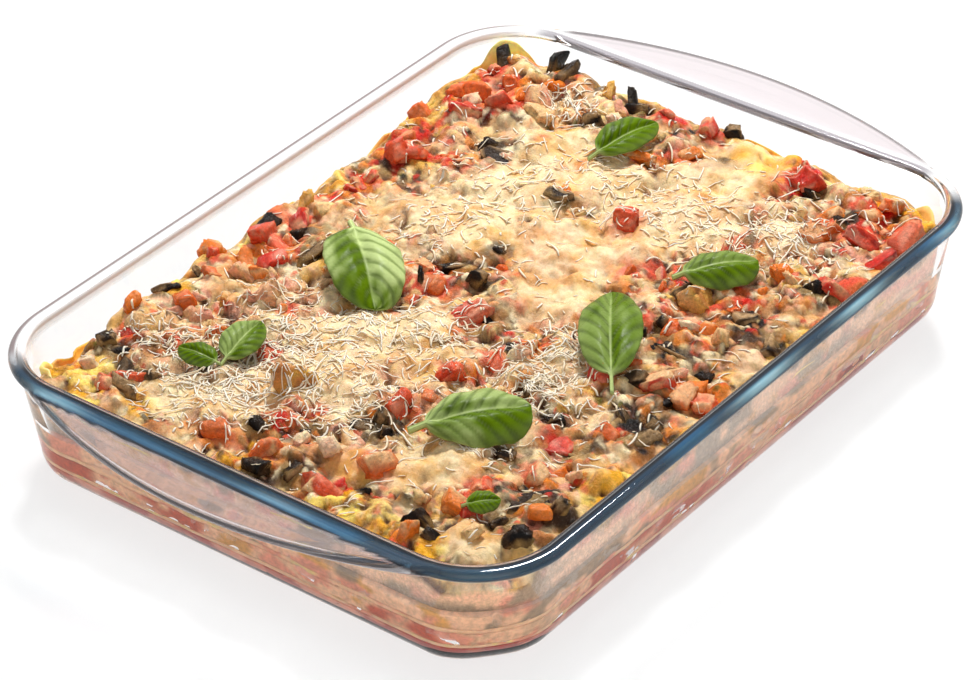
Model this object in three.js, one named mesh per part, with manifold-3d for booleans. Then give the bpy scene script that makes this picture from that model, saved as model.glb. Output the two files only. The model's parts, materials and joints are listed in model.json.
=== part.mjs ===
// A clear glass roasting dish with two arc handles, filled with a baked vegetable lasagne.
// Millimetres, +Z up. The dish stands on z = 0 with its handles at -X and +X.
import * as THREE from "three";
import { mergeVertices } from "three/addons/utils/BufferGeometryUtils.js";
import Module from "manifold-3d";

const wasm = await Module();
wasm.setup();

// Sizes of the glass dish
const DISH_LENGTH = 400; // over both handles
const DISH_WIDTH = 272; // over the rim
const DISH_HEIGHT = 55; // table to the top of the rim
const CORNER_RADIUS = 42; // outer edge of the rim, seen from above
const WALL_THICKNESS = 5;
const SIDE_LEAN = 7; // how far a long wall leans in from rim to foot
const END_LEAN = 5; // the same for a short wall
const CORNER_LEAN = 4; // how much more a corner leans in
const BASE_THICKNESS = 6;
const FOOT_RADIUS = 15; // rounded foot of the wall, outside
const CAVITY_RADIUS = 13; // rounded foot of the wall, inside
const RIM_OVERHANG = 2.5; // how far the rolled rim stands out past the wall
const RIM_DEPTH = 5; // height of the rolled rim
const RIM_ROUNDING = 1.6; // inner edge of the rim
const COVE = 1.6; // drop of the wall under the rim
const RECESS_DEPTH = 0.8; // hollow under the base
const FOOT_RING_WIDTH = 9; // flat ring that the dish stands on

// Sizes of the two handles
const HANDLE_REACH = 22; // out past the rim at the middle
const HANDLE_SPAN = 204; // along the short end
const HANDLE_THICKNESS = 4.6;
const HANDLE_DROP = 0.6; // outer edge of the handle below the rim
const HANDLE_SCOOP = 1.1; // dip in the top of the handle
const SCOOP_PLACE = 0.45; // how far out the dip lies, as a share of the reach
const RIM_STEP = 0.5; // run of the step from handle to rim

// Sizes of the bake
const FIT = 0.35; // gap between pieces that touch
const SAUCE_DEPTH = 3.4;
const PASTA_THICKNESS = 1.8;
const LOWER_FILLING_DEPTH = 6.8;
const UPPER_FILLING_DEPTH = 6.8;
const SHEETS_PER_LAYER = 3;
const FRILL_WIDTH = 7; // band along the glass where the top sheets turn up
const FRILL_HEIGHT = 6.5;
const FRILL_RIPPLE = 2.2;
const FRILL_WAVE = 26; // distance from ripple to ripple
const CRUST_MARGIN = 2; // between the frill and the cheese
const CRUST_WANDER = 1.6; // how far the edge of the cheese strays
const CRUST_EDGE = 6; // thickness of the cheese at its edge
const CRUST_DOME = 5; // how much higher the cheese stands in the middle
const CRUST_FULLNESS = 6; // power of the dome: a higher one keeps it level further out
const CRUST_LUMP = 2.4; // height of a lump above the dome
const CRUST_LUMP_WAVE = 7; // width of a lump, over pi
const CRUST_SWIRL = 1.4; // width of the swirls that bend the rows of lumps, in lumps
const CRUST_EDGE_WAVE = 13; // width of the bays along the edge of the cheese, over pi
const CRUST_FLOOR = 1.2; // cheese left under a sunk chunk
const CHUNK_SINK = 0.58; // share of a chunk that lies in the cheese

// Proportions of the chunks, as shares of their size
const TOMATO_SQUARENESS = 0.7; // power that squares off a ball: 1 is round
const TOMATO_LENGTH = 1;
const TOMATO_WIDTH = 0.8;
const TOMATO_HEIGHT = 0.84;
const WEDGE_HALF_ANGLE = 52; // degrees
const WEDGE_DEPTH = 0.6;
const WEDGE_MIDDLE = 0.6;
const CAP_BELOW = 0.22; // mushroom below its widest place
const CAP_ABOVE = 0.4;
const CAP_FOOT = 0.7; // flat underside over the widest place
const CAP_SHOULDER = 0.8;
const CAP_SHOULDER_HEIGHT = 0.65; // share of the way up

// Sizes of the basil leaves
const LEAF_THICKNESS = 0.8;
const LEAF_ARCH = 0.1; // rise of a leaf, as a share of its length
const LEAF_DROOP = 0.3; // fall of its two sides, as a share of its half width
const LEAF_REST = 0.3; // gap under the lowest point of a leaf
const STEM_SHARE = 0.2; // stem, as a share of the whole length
const STEM_WIDTH = 1.8;
const TIP_WIDTH = 1;
const BLADE_BIAS = 0.75; // below 1 sets the widest place nearer the stem
const BLADE_FULLNESS = 0.8; // below 1 makes the blade rounder

// Facets
const CORNER_STEPS = 7;
const END_STEPS = 12;
const ARC_STEPS = 5;
const EDGE_STEPS = 6;
const SLAB_STEPS = 2;
const FRILL_END_STEPS = 10;
const FRILL_SIDE_STEPS = 16;
const CRUST_END_STEPS = 6;
const CRUST_SIDE_STEPS = 9;
const CRUST_LENGTH_STEPS = 36;
const CRUST_WIDTH_STEPS = 26;
const FRILL_ROWS = 2;
const RIM_STEPS = 2;
const PROBES_PER_EDGE = 4;
const LEAF_ROWS = 8;
const LEAF_COLUMNS = 4;
const CHUNK_STEPS = 8;
const WEDGE_STEPS = 5;
const WELD = 1e-4; // points nearer than this are one

// Where the chunks lie, as shares of the half length and half width of the cheese,
// then the size in millimetres and the turn in degrees
const TOMATOES = [
  [-0.9, 0.75, 19, 20],
  [-0.32, 0.9, 13, 35],
  [0.47, 0.74, 17, 70],
  [0.58, 0.92, 12, 10],
  [0.76, 0.82, 13, 50],
  [-0.02, 0.33, 12, 15],
  [-0.26, -0.26, 15, 60],
  [0.78, 0.07, 12, 25],
  [0.92, -0.44, 14, 40],
  [0.81, -0.72, 14, 75],
  [0.34, -0.76, 13, 30],
  [-0.1, -0.88, 15, 55],
  [-0.72, -0.69, 14, 5],
  [-0.81, 0.11, 14, 65],
  [-0.92, -0.28, 14, 45],
  [-0.2, 0.84, 12, 80],
  [0.89, -0.88, 11, 15],
  [0.59, -0.52, 12, 30],
  [0.1, 0.9, 12, 60],
];
const AUBERGINES = [
  [0.9, 0.86, 16, 140],
  [0.92, 0.6, 15, 20],
  [0.55, 0.55, 16, 200],
  [0.29, 0.87, 15, 60],
  [0.92, 0.32, 14, 110],
  [0.67, -0.88, 14, 250],
  [0.49, -0.89, 13, 310],
  [0.2, -0.88, 16, 80],
  [0.06, -0.68, 15, 160],
  [-0.44, -0.84, 15, 30],
  [-0.69, -0.88, 18, 285],
  [-0.66, -0.11, 15, 230],
  [-0.11, -0.09, 13, 190],
  [0.9, -0.17, 13, 300],
];
const MUSHROOMS = [
  [-0.59, 0.79, 17, 0],
  [-0.31, 0.64, 15, 40],
  [0.45, 0.13, 14, 80],
  [0.16, 0.75, 15, 20],
  [0.35, 0.66, 13, 50],
];

// Where each leaf starts, as the same shares, then heading in degrees, length and width
const LEAVES = [
  [0.67, 0.27, -15, 40, 21],
  [-0.02, 0.66, -132, 60, 34],
  [0.31, -0.5, -38, 44, 26],
  [-0.19, -0.7, 40, 62, 30],
  [-0.68, -0.34, -38, 54, 33],
  [-0.71, 0.46, 8, 32, 18],
  [-0.76, 0.53, 97, 24, 14],
  [-0.83, -0.75, -44, 20, 11],
];

const CLEAR_GLASS = new THREE.MeshStandardMaterial({
  color: 0xc9dde4,
  roughness: 0.05,
  metalness: 0,
  transparent: true,
  opacity: 0.4,
});
const RED_SAUCE = foodMaterial(0xb8462c, 0.4);
const PASTA = foodMaterial(0xe3b95c, 0.55);
const FILLING = foodMaterial(0xcf9b78, 0.6);
const CHEESE = foodMaterial(0xe9c98e, 0.5);
const TOMATO = foodMaterial(0xc8402a, 0.35);
const AUBERGINE = foodMaterial(0x4a3a3c, 0.5);
const MUSHROOM = foodMaterial(0xb58d62, 0.6);
const BASIL = foodMaterial(0x3f6b2a, 0.45);

// Half the plan of the rim and the straight part of its sides
const rimHalfLength = DISH_LENGTH / 2 - HANDLE_REACH;
const rimHalfWidth = DISH_WIDTH / 2;
const straightHalfLength = rimHalfLength - CORNER_RADIUS;
const straightHalfWidth = rimHalfWidth - CORNER_RADIUS;

// Heights of the bake, from the floor of the dish up
const sauceBottom = BASE_THICKNESS + FIT;
const sauceTop = sauceBottom + SAUCE_DEPTH;
const lowPastaBottom = sauceTop + FIT;
const lowPastaTop = lowPastaBottom + PASTA_THICKNESS;
const lowerFillingTop = lowPastaTop + FIT + LOWER_FILLING_DEPTH;
const middlePastaBottom = lowerFillingTop + FIT;
const middlePastaTop = middlePastaBottom + PASTA_THICKNESS;
const upperFillingTop = middlePastaTop + FIT + UPPER_FILLING_DEPTH;
const topPastaBottom = upperFillingTop + FIT;
const crustBottom = topPastaBottom + PASTA_THICKNESS + FIT;
const crustInset = FRILL_WIDTH + CRUST_MARGIN + CRUST_WANDER;
const crustHalfLength = rimHalfLength - bakeInset(END_LEAN, crustBottom) - crustInset;
const crustHalfWidth = rimHalfWidth - bakeInset(SIDE_LEAN, crustBottom) - crustInset;

function foodMaterial(color, roughness) {
  return new THREE.MeshStandardMaterial({ color, roughness, metalness: 0 });
}

// A closed body from a start point through equal rings of points to a finish point.
// Each ring runs anticlockwise seen from the finish.
function closedBody(start, rings, finish) {
  const count = rings[0].length;
  const points = [start, ...rings.flat(), finish];
  const last = points.length - 1;
  const corners = [];
  for (let place = 0; place < count; place += 1) {
    const next = (place + 1) % count;
    corners.push(0, 1 + next, 1 + place);
    for (let row = 0; row < rings.length - 1; row += 1) {
      const low = 1 + row * count;
      const high = low + count;
      corners.push(low + place, low + next, high + next);
      corners.push(low + place, high + next, high + place);
    }
    const top = 1 + (rings.length - 1) * count;
    corners.push(top + place, top + next, last);
  }
  const geometry = new THREE.BufferGeometry().setFromPoints(points);
  geometry.setIndex(corners);
  return geometry;
}

function solidOf(geometry) {
  const bare = new THREE.BufferGeometry();
  bare.setAttribute("position", geometry.getAttribute("position"));
  bare.setIndex(geometry.index);
  const merged = mergeVertices(bare, WELD);
  return new wasm.Manifold(
    new wasm.Mesh({
      numProp: 3,
      vertProperties: merged.getAttribute("position").array,
      triVerts: new Uint32Array(merged.index.array),
    }),
  );
}

function geometryOf(solid) {
  const mesh = solid.getMesh();
  const geometry = new THREE.BufferGeometry();
  geometry.setAttribute("position", new THREE.BufferAttribute(mesh.vertProperties, mesh.numProp));
  geometry.setIndex(new THREE.BufferAttribute(mesh.triVerts, 1));
  return geometry;
}

// Points along the outer edge of the rim, anticlockwise from above, each with its outward direction
// and with how far the wall below it leans in.
function walkRim(endSteps, sideSteps) {
  const corners = [
    [straightHalfLength, -straightHalfWidth],
    [straightHalfLength, straightHalfWidth],
    [-straightHalfLength, straightHalfWidth],
    [-straightHalfLength, -straightHalfWidth],
  ];
  const stations = [];
  corners.forEach(([centreX, centreY], corner) => {
    for (let step = 0; step <= CORNER_STEPS; step += 1) {
      const angle = ((corner - 1 + step / CORNER_STEPS) * Math.PI) / 2;
      stations.push(rimStation(centreX, centreY, angle));
    }
    const [nextX, nextY] = corners[(corner + 1) % corners.length];
    const steps = corner % 2 === 0 ? endSteps : sideSteps;
    for (let step = 1; step < steps; step += 1) {
      const x = THREE.MathUtils.lerp(centreX, nextX, step / steps);
      const y = THREE.MathUtils.lerp(centreY, nextY, step / steps);
      stations.push(rimStation(x, y, (corner * Math.PI) / 2));
    }
  });
  return stations;
}

function rimStation(centreX, centreY, angle) {
  const outX = Math.cos(angle);
  const outY = Math.sin(angle);
  const x = centreX + CORNER_RADIUS * outX;
  const y = centreY + CORNER_RADIUS * outY;
  const lean = END_LEAN * outX ** 2 + SIDE_LEAN * outY ** 2 + CORNER_LEAN * (2 * outX * outY) ** 2;
  return { x, y, outX, outY, lean };
}

function insetPoint(station, inset, z) {
  return new THREE.Vector3(station.x - station.outX * inset, station.y - station.outY * inset, z);
}

// Points on an arc of the dish's section: inset from the rim's outer edge, then height.
function sectionArc(inset, z, radius, fromDegrees, toDegrees, steps) {
  return Array.from({ length: steps + 1 }, (_, step) => {
    const angle = THREE.MathUtils.degToRad(THREE.MathUtils.lerp(fromDegrees, toDegrees, step / steps));
    return [inset + radius * Math.cos(angle), z + radius * Math.sin(angle)];
  });
}

// Inset of the outer face of a wall of some lean at a height.
function wallInset(lean, z) {
  return RIM_OVERHANG + lean * (1 - z / DISH_HEIGHT);
}

// Rounded foot of the wall on the inside, from the wall down to the floor.
function cavityFoot(lean) {
  const top = BASE_THICKNESS + CAVITY_RADIUS;
  const centre = wallInset(lean, top) + WALL_THICKNESS + CAVITY_RADIUS;
  return sectionArc(centre, top, CAVITY_RADIUS, 180, 270, ARC_STEPS);
}

// Inset of the inner face of the wall at a height, along the facets of its rounded foot.
function cavityInset(lean, z) {
  const foot = cavityFoot(lean);
  const below = foot.findIndex(([, height]) => height <= z);
  if (below === 0) return wallInset(lean, z) + WALL_THICKNESS;
  if (below < 0) return foot.at(-1)[0];
  const [highInset, highZ] = foot[below - 1];
  const [lowInset, lowZ] = foot[below];
  return THREE.MathUtils.mapLinear(z, lowZ, highZ, lowInset, highInset);
}

// Inset of a piece of the bake that clears the glass all round at a height.
function bakeInset(lean, z) {
  return cavityInset(lean, z - FIT) + FIT;
}

// How far the handle stands out past the rim at a station: a shallow arc on the two short ends.
function handleReach(station) {
  const across = station.y / (HANDLE_SPAN / 2);
  const onShortEnd = Math.abs(station.outX) > Math.abs(station.outY);
  return onShortEnd ? HANDLE_REACH * Math.max(1 - across ** 2, 0) : 0;
}

// Section of the glass from the hollow under the base, up the wall, round the rim and down to the floor.
function glassSection(station) {
  const reach = handleReach(station);
  const share = reach / HANDLE_REACH;
  const depth = THREE.MathUtils.lerp(RIM_DEPTH, HANDLE_THICKNESS, share);
  const edgeTop = DISH_HEIGHT - HANDLE_DROP * share;
  const underside = edgeTop - depth;
  const edgeRadius = depth / 2;
  const dip = edgeTop - HANDLE_SCOOP * share;
  const footInset = wallInset(station.lean, FOOT_RADIUS) + FOOT_RADIUS;
  const rimWidth = RIM_OVERHANG + WALL_THICKNESS;
  return [
    [footInset + FOOT_RING_WIDTH + RECESS_DEPTH, RECESS_DEPTH],
    [footInset + FOOT_RING_WIDTH, 0],
    ...sectionArc(footInset, FOOT_RADIUS, FOOT_RADIUS, -90, -180, ARC_STEPS),
    [wallInset(station.lean, underside - COVE), underside - COVE],
    ...sectionArc(edgeRadius - reach, underside + edgeRadius, edgeRadius, -90, -270, EDGE_STEPS),
    [edgeRadius - reach * SCOOP_PLACE + RIM_STEP, dip],
    [edgeRadius + RIM_STEP * 2, dip],
    [edgeRadius + RIM_STEP * 3, DISH_HEIGHT],
    ...sectionArc(rimWidth - RIM_ROUNDING, DISH_HEIGHT - RIM_ROUNDING, RIM_ROUNDING, 90, 0, RIM_STEPS),
    ...cavityFoot(station.lean),
  ];
}

function glassDish() {
  const stations = walkRim(END_STEPS, SLAB_STEPS);
  const sections = stations.map((station) => glassSection(station));
  const rings = sections[0].map((_, row) =>
    stations.map((station, place) => insetPoint(station, ...sections[place][row])),
  );
  const start = new THREE.Vector3(0, 0, RECESS_DEPTH);
  const finish = new THREE.Vector3(0, 0, BASE_THICKNESS);
  return closedBody(start, rings, finish);
}

// A flat layer that fills the dish from wall to wall between two heights.
function flatLayer(bottom, top) {
  const stations = walkRim(SLAB_STEPS, SLAB_STEPS);
  const rings = Array.from({ length: ARC_STEPS + 1 }, (_, step) => {
    const z = THREE.MathUtils.lerp(bottom, top, step / ARC_STEPS);
    return stations.map((station) => insetPoint(station, bakeInset(station.lean, z), z));
  });
  return closedBody(new THREE.Vector3(0, 0, bottom), rings, new THREE.Vector3(0, 0, top));
}

// The top pasta layer: flat in the middle, with its edges turned up along the glass in ripples.
function frilledLayer(bottom) {
  const stations = walkRim(FRILL_END_STEPS, FRILL_SIDE_STEPS);
  const shares = Array.from({ length: FRILL_ROWS + 1 }, (_, row) => row / FRILL_ROWS);
  const ringAt = (share, rise) =>
    stations.map((station) => {
      const ripple = FRILL_RIPPLE * Math.sin(((station.x + station.y) * 2 * Math.PI) / FRILL_WAVE);
      const lift = share ** 2 * (FRILL_HEIGHT + ripple);
      const inset = bakeInset(station.lean, bottom) + FRILL_WIDTH * (1 - share);
      return insetPoint(station, inset, bottom + rise + lift);
    });
  const under = shares.map((share) => ringAt(share, 0));
  const over = shares.map((share) => ringAt(share, PASTA_THICKNESS)).reverse();
  const start = new THREE.Vector3(0, 0, bottom);
  const finish = new THREE.Vector3(0, 0, bottom + PASTA_THICKNESS);
  return closedBody(start, [...under, ...over], finish);
}

// A pasta layer cut across into sheets that lie side by side.
function pastaSheets(layer) {
  const solid = solidOf(layer);
  const pitch = (rimHalfLength * 2) / SHEETS_PER_LAYER;
  return Array.from({ length: SHEETS_PER_LAYER }, (_, sheet) => {
    const cutter = new THREE.BoxGeometry(pitch - FIT, DISH_WIDTH, DISH_HEIGHT * 2);
    cutter.translate((sheet + 0.5) * pitch - rimHalfLength, 0, 0);
    return geometryOf(solid.intersect(solidOf(cutter)));
  });
}

// Height of the melted cheese: a low dome covered with lumps in bent rows.
function crustHeight(x, y) {
  const across = Math.max(Math.abs(x) / crustHalfLength, Math.abs(y) / crustHalfWidth);
  const dome = CRUST_DOME * (1 - Math.min(across, 1) ** CRUST_FULLNESS);
  const bendX = Math.sin(y / (CRUST_LUMP_WAVE * CRUST_SWIRL));
  const bendY = Math.sin(x / (CRUST_LUMP_WAVE * CRUST_SWIRL));
  const lump = Math.sin(x / CRUST_LUMP_WAVE + bendX) * Math.sin(y / CRUST_LUMP_WAVE + bendY);
  return crustBottom + CRUST_EDGE + dome + CRUST_LUMP * lump;
}

// The cheese crust: a slab with a lumpy top, trimmed to a wandering outline inside the turned-up pasta.
function cheeseCrust() {
  const length = 2 * (crustHalfLength + 2 * CRUST_WANDER);
  const width = 2 * (crustHalfWidth + 2 * CRUST_WANDER);
  const slab = new THREE.BoxGeometry(length, width, 1, CRUST_LENGTH_STEPS, CRUST_WIDTH_STEPS, 1);
  const position = slab.getAttribute("position");
  for (let corner = 0; corner < position.count; corner += 1) {
    const onTop = position.getZ(corner) > 0;
    position.setZ(corner, onTop ? crustHeight(position.getX(corner), position.getY(corner)) : 0);
  }
  const outline = walkRim(CRUST_END_STEPS, CRUST_SIDE_STEPS).map((station) => {
    const wander = CRUST_WANDER * Math.sin((station.x - station.y) / CRUST_EDGE_WAVE);
    return insetPoint(station, bakeInset(station.lean, crustBottom) + crustInset + wander, 0);
  });
  const trim = new THREE.ExtrudeGeometry(new THREE.Shape(outline), { depth: DISH_HEIGHT, bevelEnabled: false });
  trim.translate(0, 0, crustBottom);
  return solidOf(slab).intersect(solidOf(trim));
}

// A plump chunk of tomato: a ball squared off towards a rounded block. The margin makes its seat.
function tomatoChunk(size, margin) {
  const geometry = new THREE.SphereGeometry(1, CHUNK_STEPS, CHUNK_STEPS - 2);
  const position = geometry.getAttribute("position");
  const squared = (value) => Math.sign(value) * Math.abs(value) ** TOMATO_SQUARENESS;
  for (let corner = 0; corner < position.count; corner += 1) {
    position.setXYZ(
      corner,
      squared(position.getX(corner)),
      squared(position.getY(corner)),
      squared(position.getZ(corner)),
    );
  }
  geometry.scale(
    (size * TOMATO_LENGTH) / 2 + margin,
    (size * TOMATO_WIDTH) / 2 + margin,
    (size * TOMATO_HEIGHT) / 2 + margin,
  );
  return geometry;
}

// A wedge cut from a slice of aubergine, skin on the round side. The margin makes its seat.
function aubergineWedge(size, margin) {
  const halfAngle = THREE.MathUtils.degToRad(WEDGE_HALF_ANGLE);
  const radius = size + margin;
  const spread = halfAngle + Math.asin(margin / radius);
  const outline = [new THREE.Vector2(-margin / Math.sin(halfAngle), 0)];
  for (let step = 0; step <= WEDGE_STEPS; step += 1) {
    const angle = THREE.MathUtils.lerp(-spread, spread, step / WEDGE_STEPS);
    outline.push(new THREE.Vector2(radius * Math.cos(angle), radius * Math.sin(angle)));
  }
  const depth = size * WEDGE_DEPTH + margin * 2;
  const geometry = new THREE.ExtrudeGeometry(new THREE.Shape(outline), { depth, bevelEnabled: false });
  geometry.translate(-size * WEDGE_MIDDLE, 0, -depth / 2);
  return geometry;
}

// Half a mushroom cap, domed on top and tucked in below. The margin makes its seat.
function mushroomPiece(size, margin) {
  const radius = size / 2 + margin;
  const low = size * CAP_BELOW + margin;
  const high = size * CAP_ABOVE + margin;
  const outline = [
    new THREE.Vector2(0, -low),
    new THREE.Vector2(radius * CAP_FOOT, -low),
    new THREE.Vector2(radius, 0),
    new THREE.Vector2(radius * CAP_SHOULDER, high * CAP_SHOULDER_HEIGHT),
    new THREE.Vector2(0, high),
  ];
  return new THREE.LatheGeometry(outline, CHUNK_STEPS).rotateX(Math.PI / 2);
}

// A chunk at its place in the cheese and the seat that takes it.
function seatedChunk(shape, [shareX, shareY, size, turn]) {
  const x = shareX * crustHalfLength;
  const y = shareY * crustHalfWidth;
  const chunk = shape(size, 0);
  const seat = shape(size, FIT);
  chunk.computeBoundingBox();
  const lowest = chunk.boundingBox.min.z;
  const height = chunk.boundingBox.max.z - lowest;
  const sunk = crustHeight(x, y) - CHUNK_SINK * height;
  const foot = Math.max(sunk, crustBottom + CRUST_FLOOR + FIT);
  for (const geometry of [chunk, seat]) {
    geometry.rotateZ(THREE.MathUtils.degToRad(turn));
    geometry.translate(x, y, foot - lowest);
  }
  return { chunk, seat };
}

// Half width of a leaf along its length: a thin stem, then an oval blade with a pointed tip.
function leafHalfWidth(along, width) {
  if (along < STEM_SHARE) return STEM_WIDTH / 2;
  const blade = (along - STEM_SHARE) / (1 - STEM_SHARE);
  const swell = Math.sin(Math.PI * blade ** BLADE_BIAS) ** BLADE_FULLNESS;
  return THREE.MathUtils.lerp(STEM_WIDTH, TIP_WIDTH, blade) / 2 + (swell * (width - STEM_WIDTH)) / 2;
}

// A basil leaf that starts at the origin and runs along +X, arched with drooping sides.
function basilLeaf(length, width) {
  const rings = [];
  const middle = (along) => length * LEAF_ARCH * Math.sin(Math.PI * along);
  for (let row = 1; row < LEAF_ROWS; row += 1) {
    const along = row / LEAF_ROWS;
    const half = leafHalfWidth(along, width);
    const pointAt = (side, z) =>
      new THREE.Vector3(along * length, half * side, middle(along) - LEAF_DROOP * half * side ** 2 + z);
    const sides = Array.from({ length: LEAF_COLUMNS + 1 }, (_, column) => 1 - (2 * column) / LEAF_COLUMNS);
    const upper = sides.map((side) => pointAt(side, LEAF_THICKNESS));
    const lower = sides.map((side) => pointAt(side, 0)).reverse();
    rings.push([...upper, ...lower]);
  }
  const start = new THREE.Vector3(0, 0, LEAF_THICKNESS / 2);
  const finish = new THREE.Vector3(length, 0, LEAF_THICKNESS / 2);
  return closedBody(start, rings, finish);
}

// A leaf laid on the pieces below it, with its lowest point just clear of them.
function restingLeaf([shareX, shareY, heading, length, width], below) {
  const leaf = basilLeaf(length, width);
  leaf.rotateZ(THREE.MathUtils.degToRad(heading));
  leaf.translate(shareX * crustHalfLength, shareY * crustHalfWidth, 0);
  const position = leaf.getAttribute("position");
  const corner = new THREE.Vector3();
  const next = new THREE.Vector3();
  const down = new THREE.Vector3(0, 0, -1);
  let rise = -Infinity;
  for (let place = 0; place < leaf.index.count; place += 1) {
    const face = place - (place % 3);
    corner.fromBufferAttribute(position, leaf.index.getX(place));
    next.fromBufferAttribute(position, leaf.index.getX(face + ((place + 1) % 3)));
    for (let probe = 0; probe < PROBES_PER_EDGE; probe += 1) {
      const point = corner.clone().lerp(next, probe / PROBES_PER_EDGE);
      const eye = new THREE.Vector3(point.x, point.y, DISH_HEIGHT * 2);
      const hits = new THREE.Raycaster(eye, down).intersectObjects(below);
      if (hits.length > 0) rise = Math.max(rise, hits[0].point.z - point.z);
    }
  }
  leaf.translate(0, 0, rise + LEAF_REST);
  return leaf;
}

const group = new THREE.Group();

function addPiece(name, geometry, material) {
  geometry.computeVertexNormals();
  const mesh = new THREE.Mesh(geometry, material);
  mesh.name = name;
  group.add(mesh);
  return mesh;
}

addPiece("glass_dish", glassDish(), CLEAR_GLASS);
addPiece("sauce_pool", flatLayer(sauceBottom, sauceTop), RED_SAUCE);
addPiece("filling_lower", flatLayer(lowPastaTop + FIT, lowerFillingTop), FILLING);
addPiece("filling_upper", flatLayer(middlePastaTop + FIT, upperFillingTop), FILLING);

const pastaLayers = {
  low: flatLayer(lowPastaBottom, lowPastaTop),
  middle: flatLayer(middlePastaBottom, middlePastaTop),
  top: frilledLayer(topPastaBottom),
};
for (const [layerName, layer] of Object.entries(pastaLayers)) {
  pastaSheets(layer).forEach((sheet, place) => {
    addPiece(`pasta_${layerName}_${place + 1}`, sheet, PASTA);
  });
}

const chunkKinds = [
  { name: "tomato_chunk", shape: tomatoChunk, places: TOMATOES, material: TOMATO },
  { name: "aubergine_wedge", shape: aubergineWedge, places: AUBERGINES, material: AUBERGINE },
  { name: "mushroom_piece", shape: mushroomPiece, places: MUSHROOMS, material: MUSHROOM },
];
const leafSupports = [];
let crust = cheeseCrust();
for (const { name, shape, places, material } of chunkKinds) {
  places.forEach((place, count) => {
    const { chunk, seat } = seatedChunk(shape, place);
    crust = crust.subtract(solidOf(seat));
    leafSupports.push(addPiece(`${name}_${count + 1}`, chunk, material));
  });
}
leafSupports.push(addPiece("cheese_topping", geometryOf(crust), CHEESE));

LEAVES.forEach((place, count) => {
  addPiece(`basil_leaf_${count + 1}`, restingLeaf(place, leafSupports), BASIL);
});

export default group;
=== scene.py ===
import json
import math

import bmesh
import bpy
import numpy as np
from mathutils import Matrix, Vector
from mathutils.bvhtree import BVHTree

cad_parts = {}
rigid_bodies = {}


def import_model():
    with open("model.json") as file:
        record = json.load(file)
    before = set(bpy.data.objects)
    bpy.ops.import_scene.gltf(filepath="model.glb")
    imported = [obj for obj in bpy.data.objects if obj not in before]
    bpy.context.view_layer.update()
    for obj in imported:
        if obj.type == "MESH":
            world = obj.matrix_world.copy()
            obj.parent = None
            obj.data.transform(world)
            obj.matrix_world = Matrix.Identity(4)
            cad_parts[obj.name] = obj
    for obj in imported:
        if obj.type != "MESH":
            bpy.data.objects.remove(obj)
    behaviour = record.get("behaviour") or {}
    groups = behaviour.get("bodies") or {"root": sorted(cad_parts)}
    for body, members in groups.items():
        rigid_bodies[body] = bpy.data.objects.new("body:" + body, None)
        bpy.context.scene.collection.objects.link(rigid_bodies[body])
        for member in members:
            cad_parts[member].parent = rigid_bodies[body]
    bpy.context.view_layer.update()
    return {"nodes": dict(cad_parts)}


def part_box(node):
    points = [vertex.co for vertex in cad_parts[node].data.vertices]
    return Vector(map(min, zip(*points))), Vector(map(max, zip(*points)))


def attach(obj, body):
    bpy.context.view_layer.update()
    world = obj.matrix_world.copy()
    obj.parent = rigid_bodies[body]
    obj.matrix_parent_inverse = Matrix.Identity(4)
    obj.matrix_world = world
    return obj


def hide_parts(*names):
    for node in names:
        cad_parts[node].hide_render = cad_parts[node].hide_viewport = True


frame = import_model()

# Lengths are millimetres until a mesh is made.
MM = 0.001

# Camera, fitted to the rim, handles and foot of the dish in the 980 by 680 photo
PHOTO_WIDTH = 980
PHOTO_HEIGHT = 680
CAMERA_AZIMUTH = -51.964
CAMERA_ELEVATION = 34.37
CAMERA_ROLL = -1.072
CAMERA_DISTANCE = 1701
CAMERA_TARGET = (20.4, 20.3, 0.4)
FOCAL_PIXELS = 3944
SENSOR_WIDTH = 36

# Sizes of the glass dish, as in the construction
CORNER_RADIUS = 42
WALL_THICKNESS = 5
SIDE_LEAN = 7
END_LEAN = 5
CORNER_LEAN = 4
BASE_THICKNESS = 6
FOOT_RADIUS = 15
CAVITY_RADIUS = 13
RIM_OVERHANG = 2.5
RIM_DEPTH = 5
RIM_ROUNDING = 1.6
COVE = 1.6
RECESS_DEPTH = 0.8
FOOT_RING_WIDTH = 9
HANDLE_REACH = 22
HANDLE_SPAN = 204
HANDLE_THICKNESS = 4.6
HANDLE_DROP = 0.6
HANDLE_SCOOP = 1.1
# Share of the handle's reach, then how much of the scoop's depth lies there
HANDLE_TREAD = [
    (0.85, 0.35), (0.65, 0.8), (0.45, 1), (0.33, 1), (0.29, 1), (0.25, 1), (0.2, 1), (0.15, 1), (0.1, 1),
]
RIM_STEP = 0.5
RIM_WIDTH = RIM_OVERHANG + WALL_THICKNESS
GLASS_PITCH = 1.5

# The bake
WET = 0.5
FRILL_WIDTH = 9
FRILL_HEIGHT = 8
CRUST_EDGE_HEIGHT = 6
CRUST_DOME = 5
CRUST_SHOULDER = 6
CRUST_LUMP = 2.4
CRUST_LUMP_WAVE = 7
CRUST_SWIRL = 1.4
FAR_HEAP = 2.5
ANCHOR_REACH = 13
ANCHOR_RISE = 2
CLING = 6
FAR_RETREAT = 8
SHEET_GAP = 0.35
SHEET_THICKNESS = 1.6
LAYER_PITCH = 1.6
LAYER_STEPS = 8
FRILL_STEPS = 8
SPOT_HEIGHT = 43
EDGE_CLEARANCE = 0.3

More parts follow.
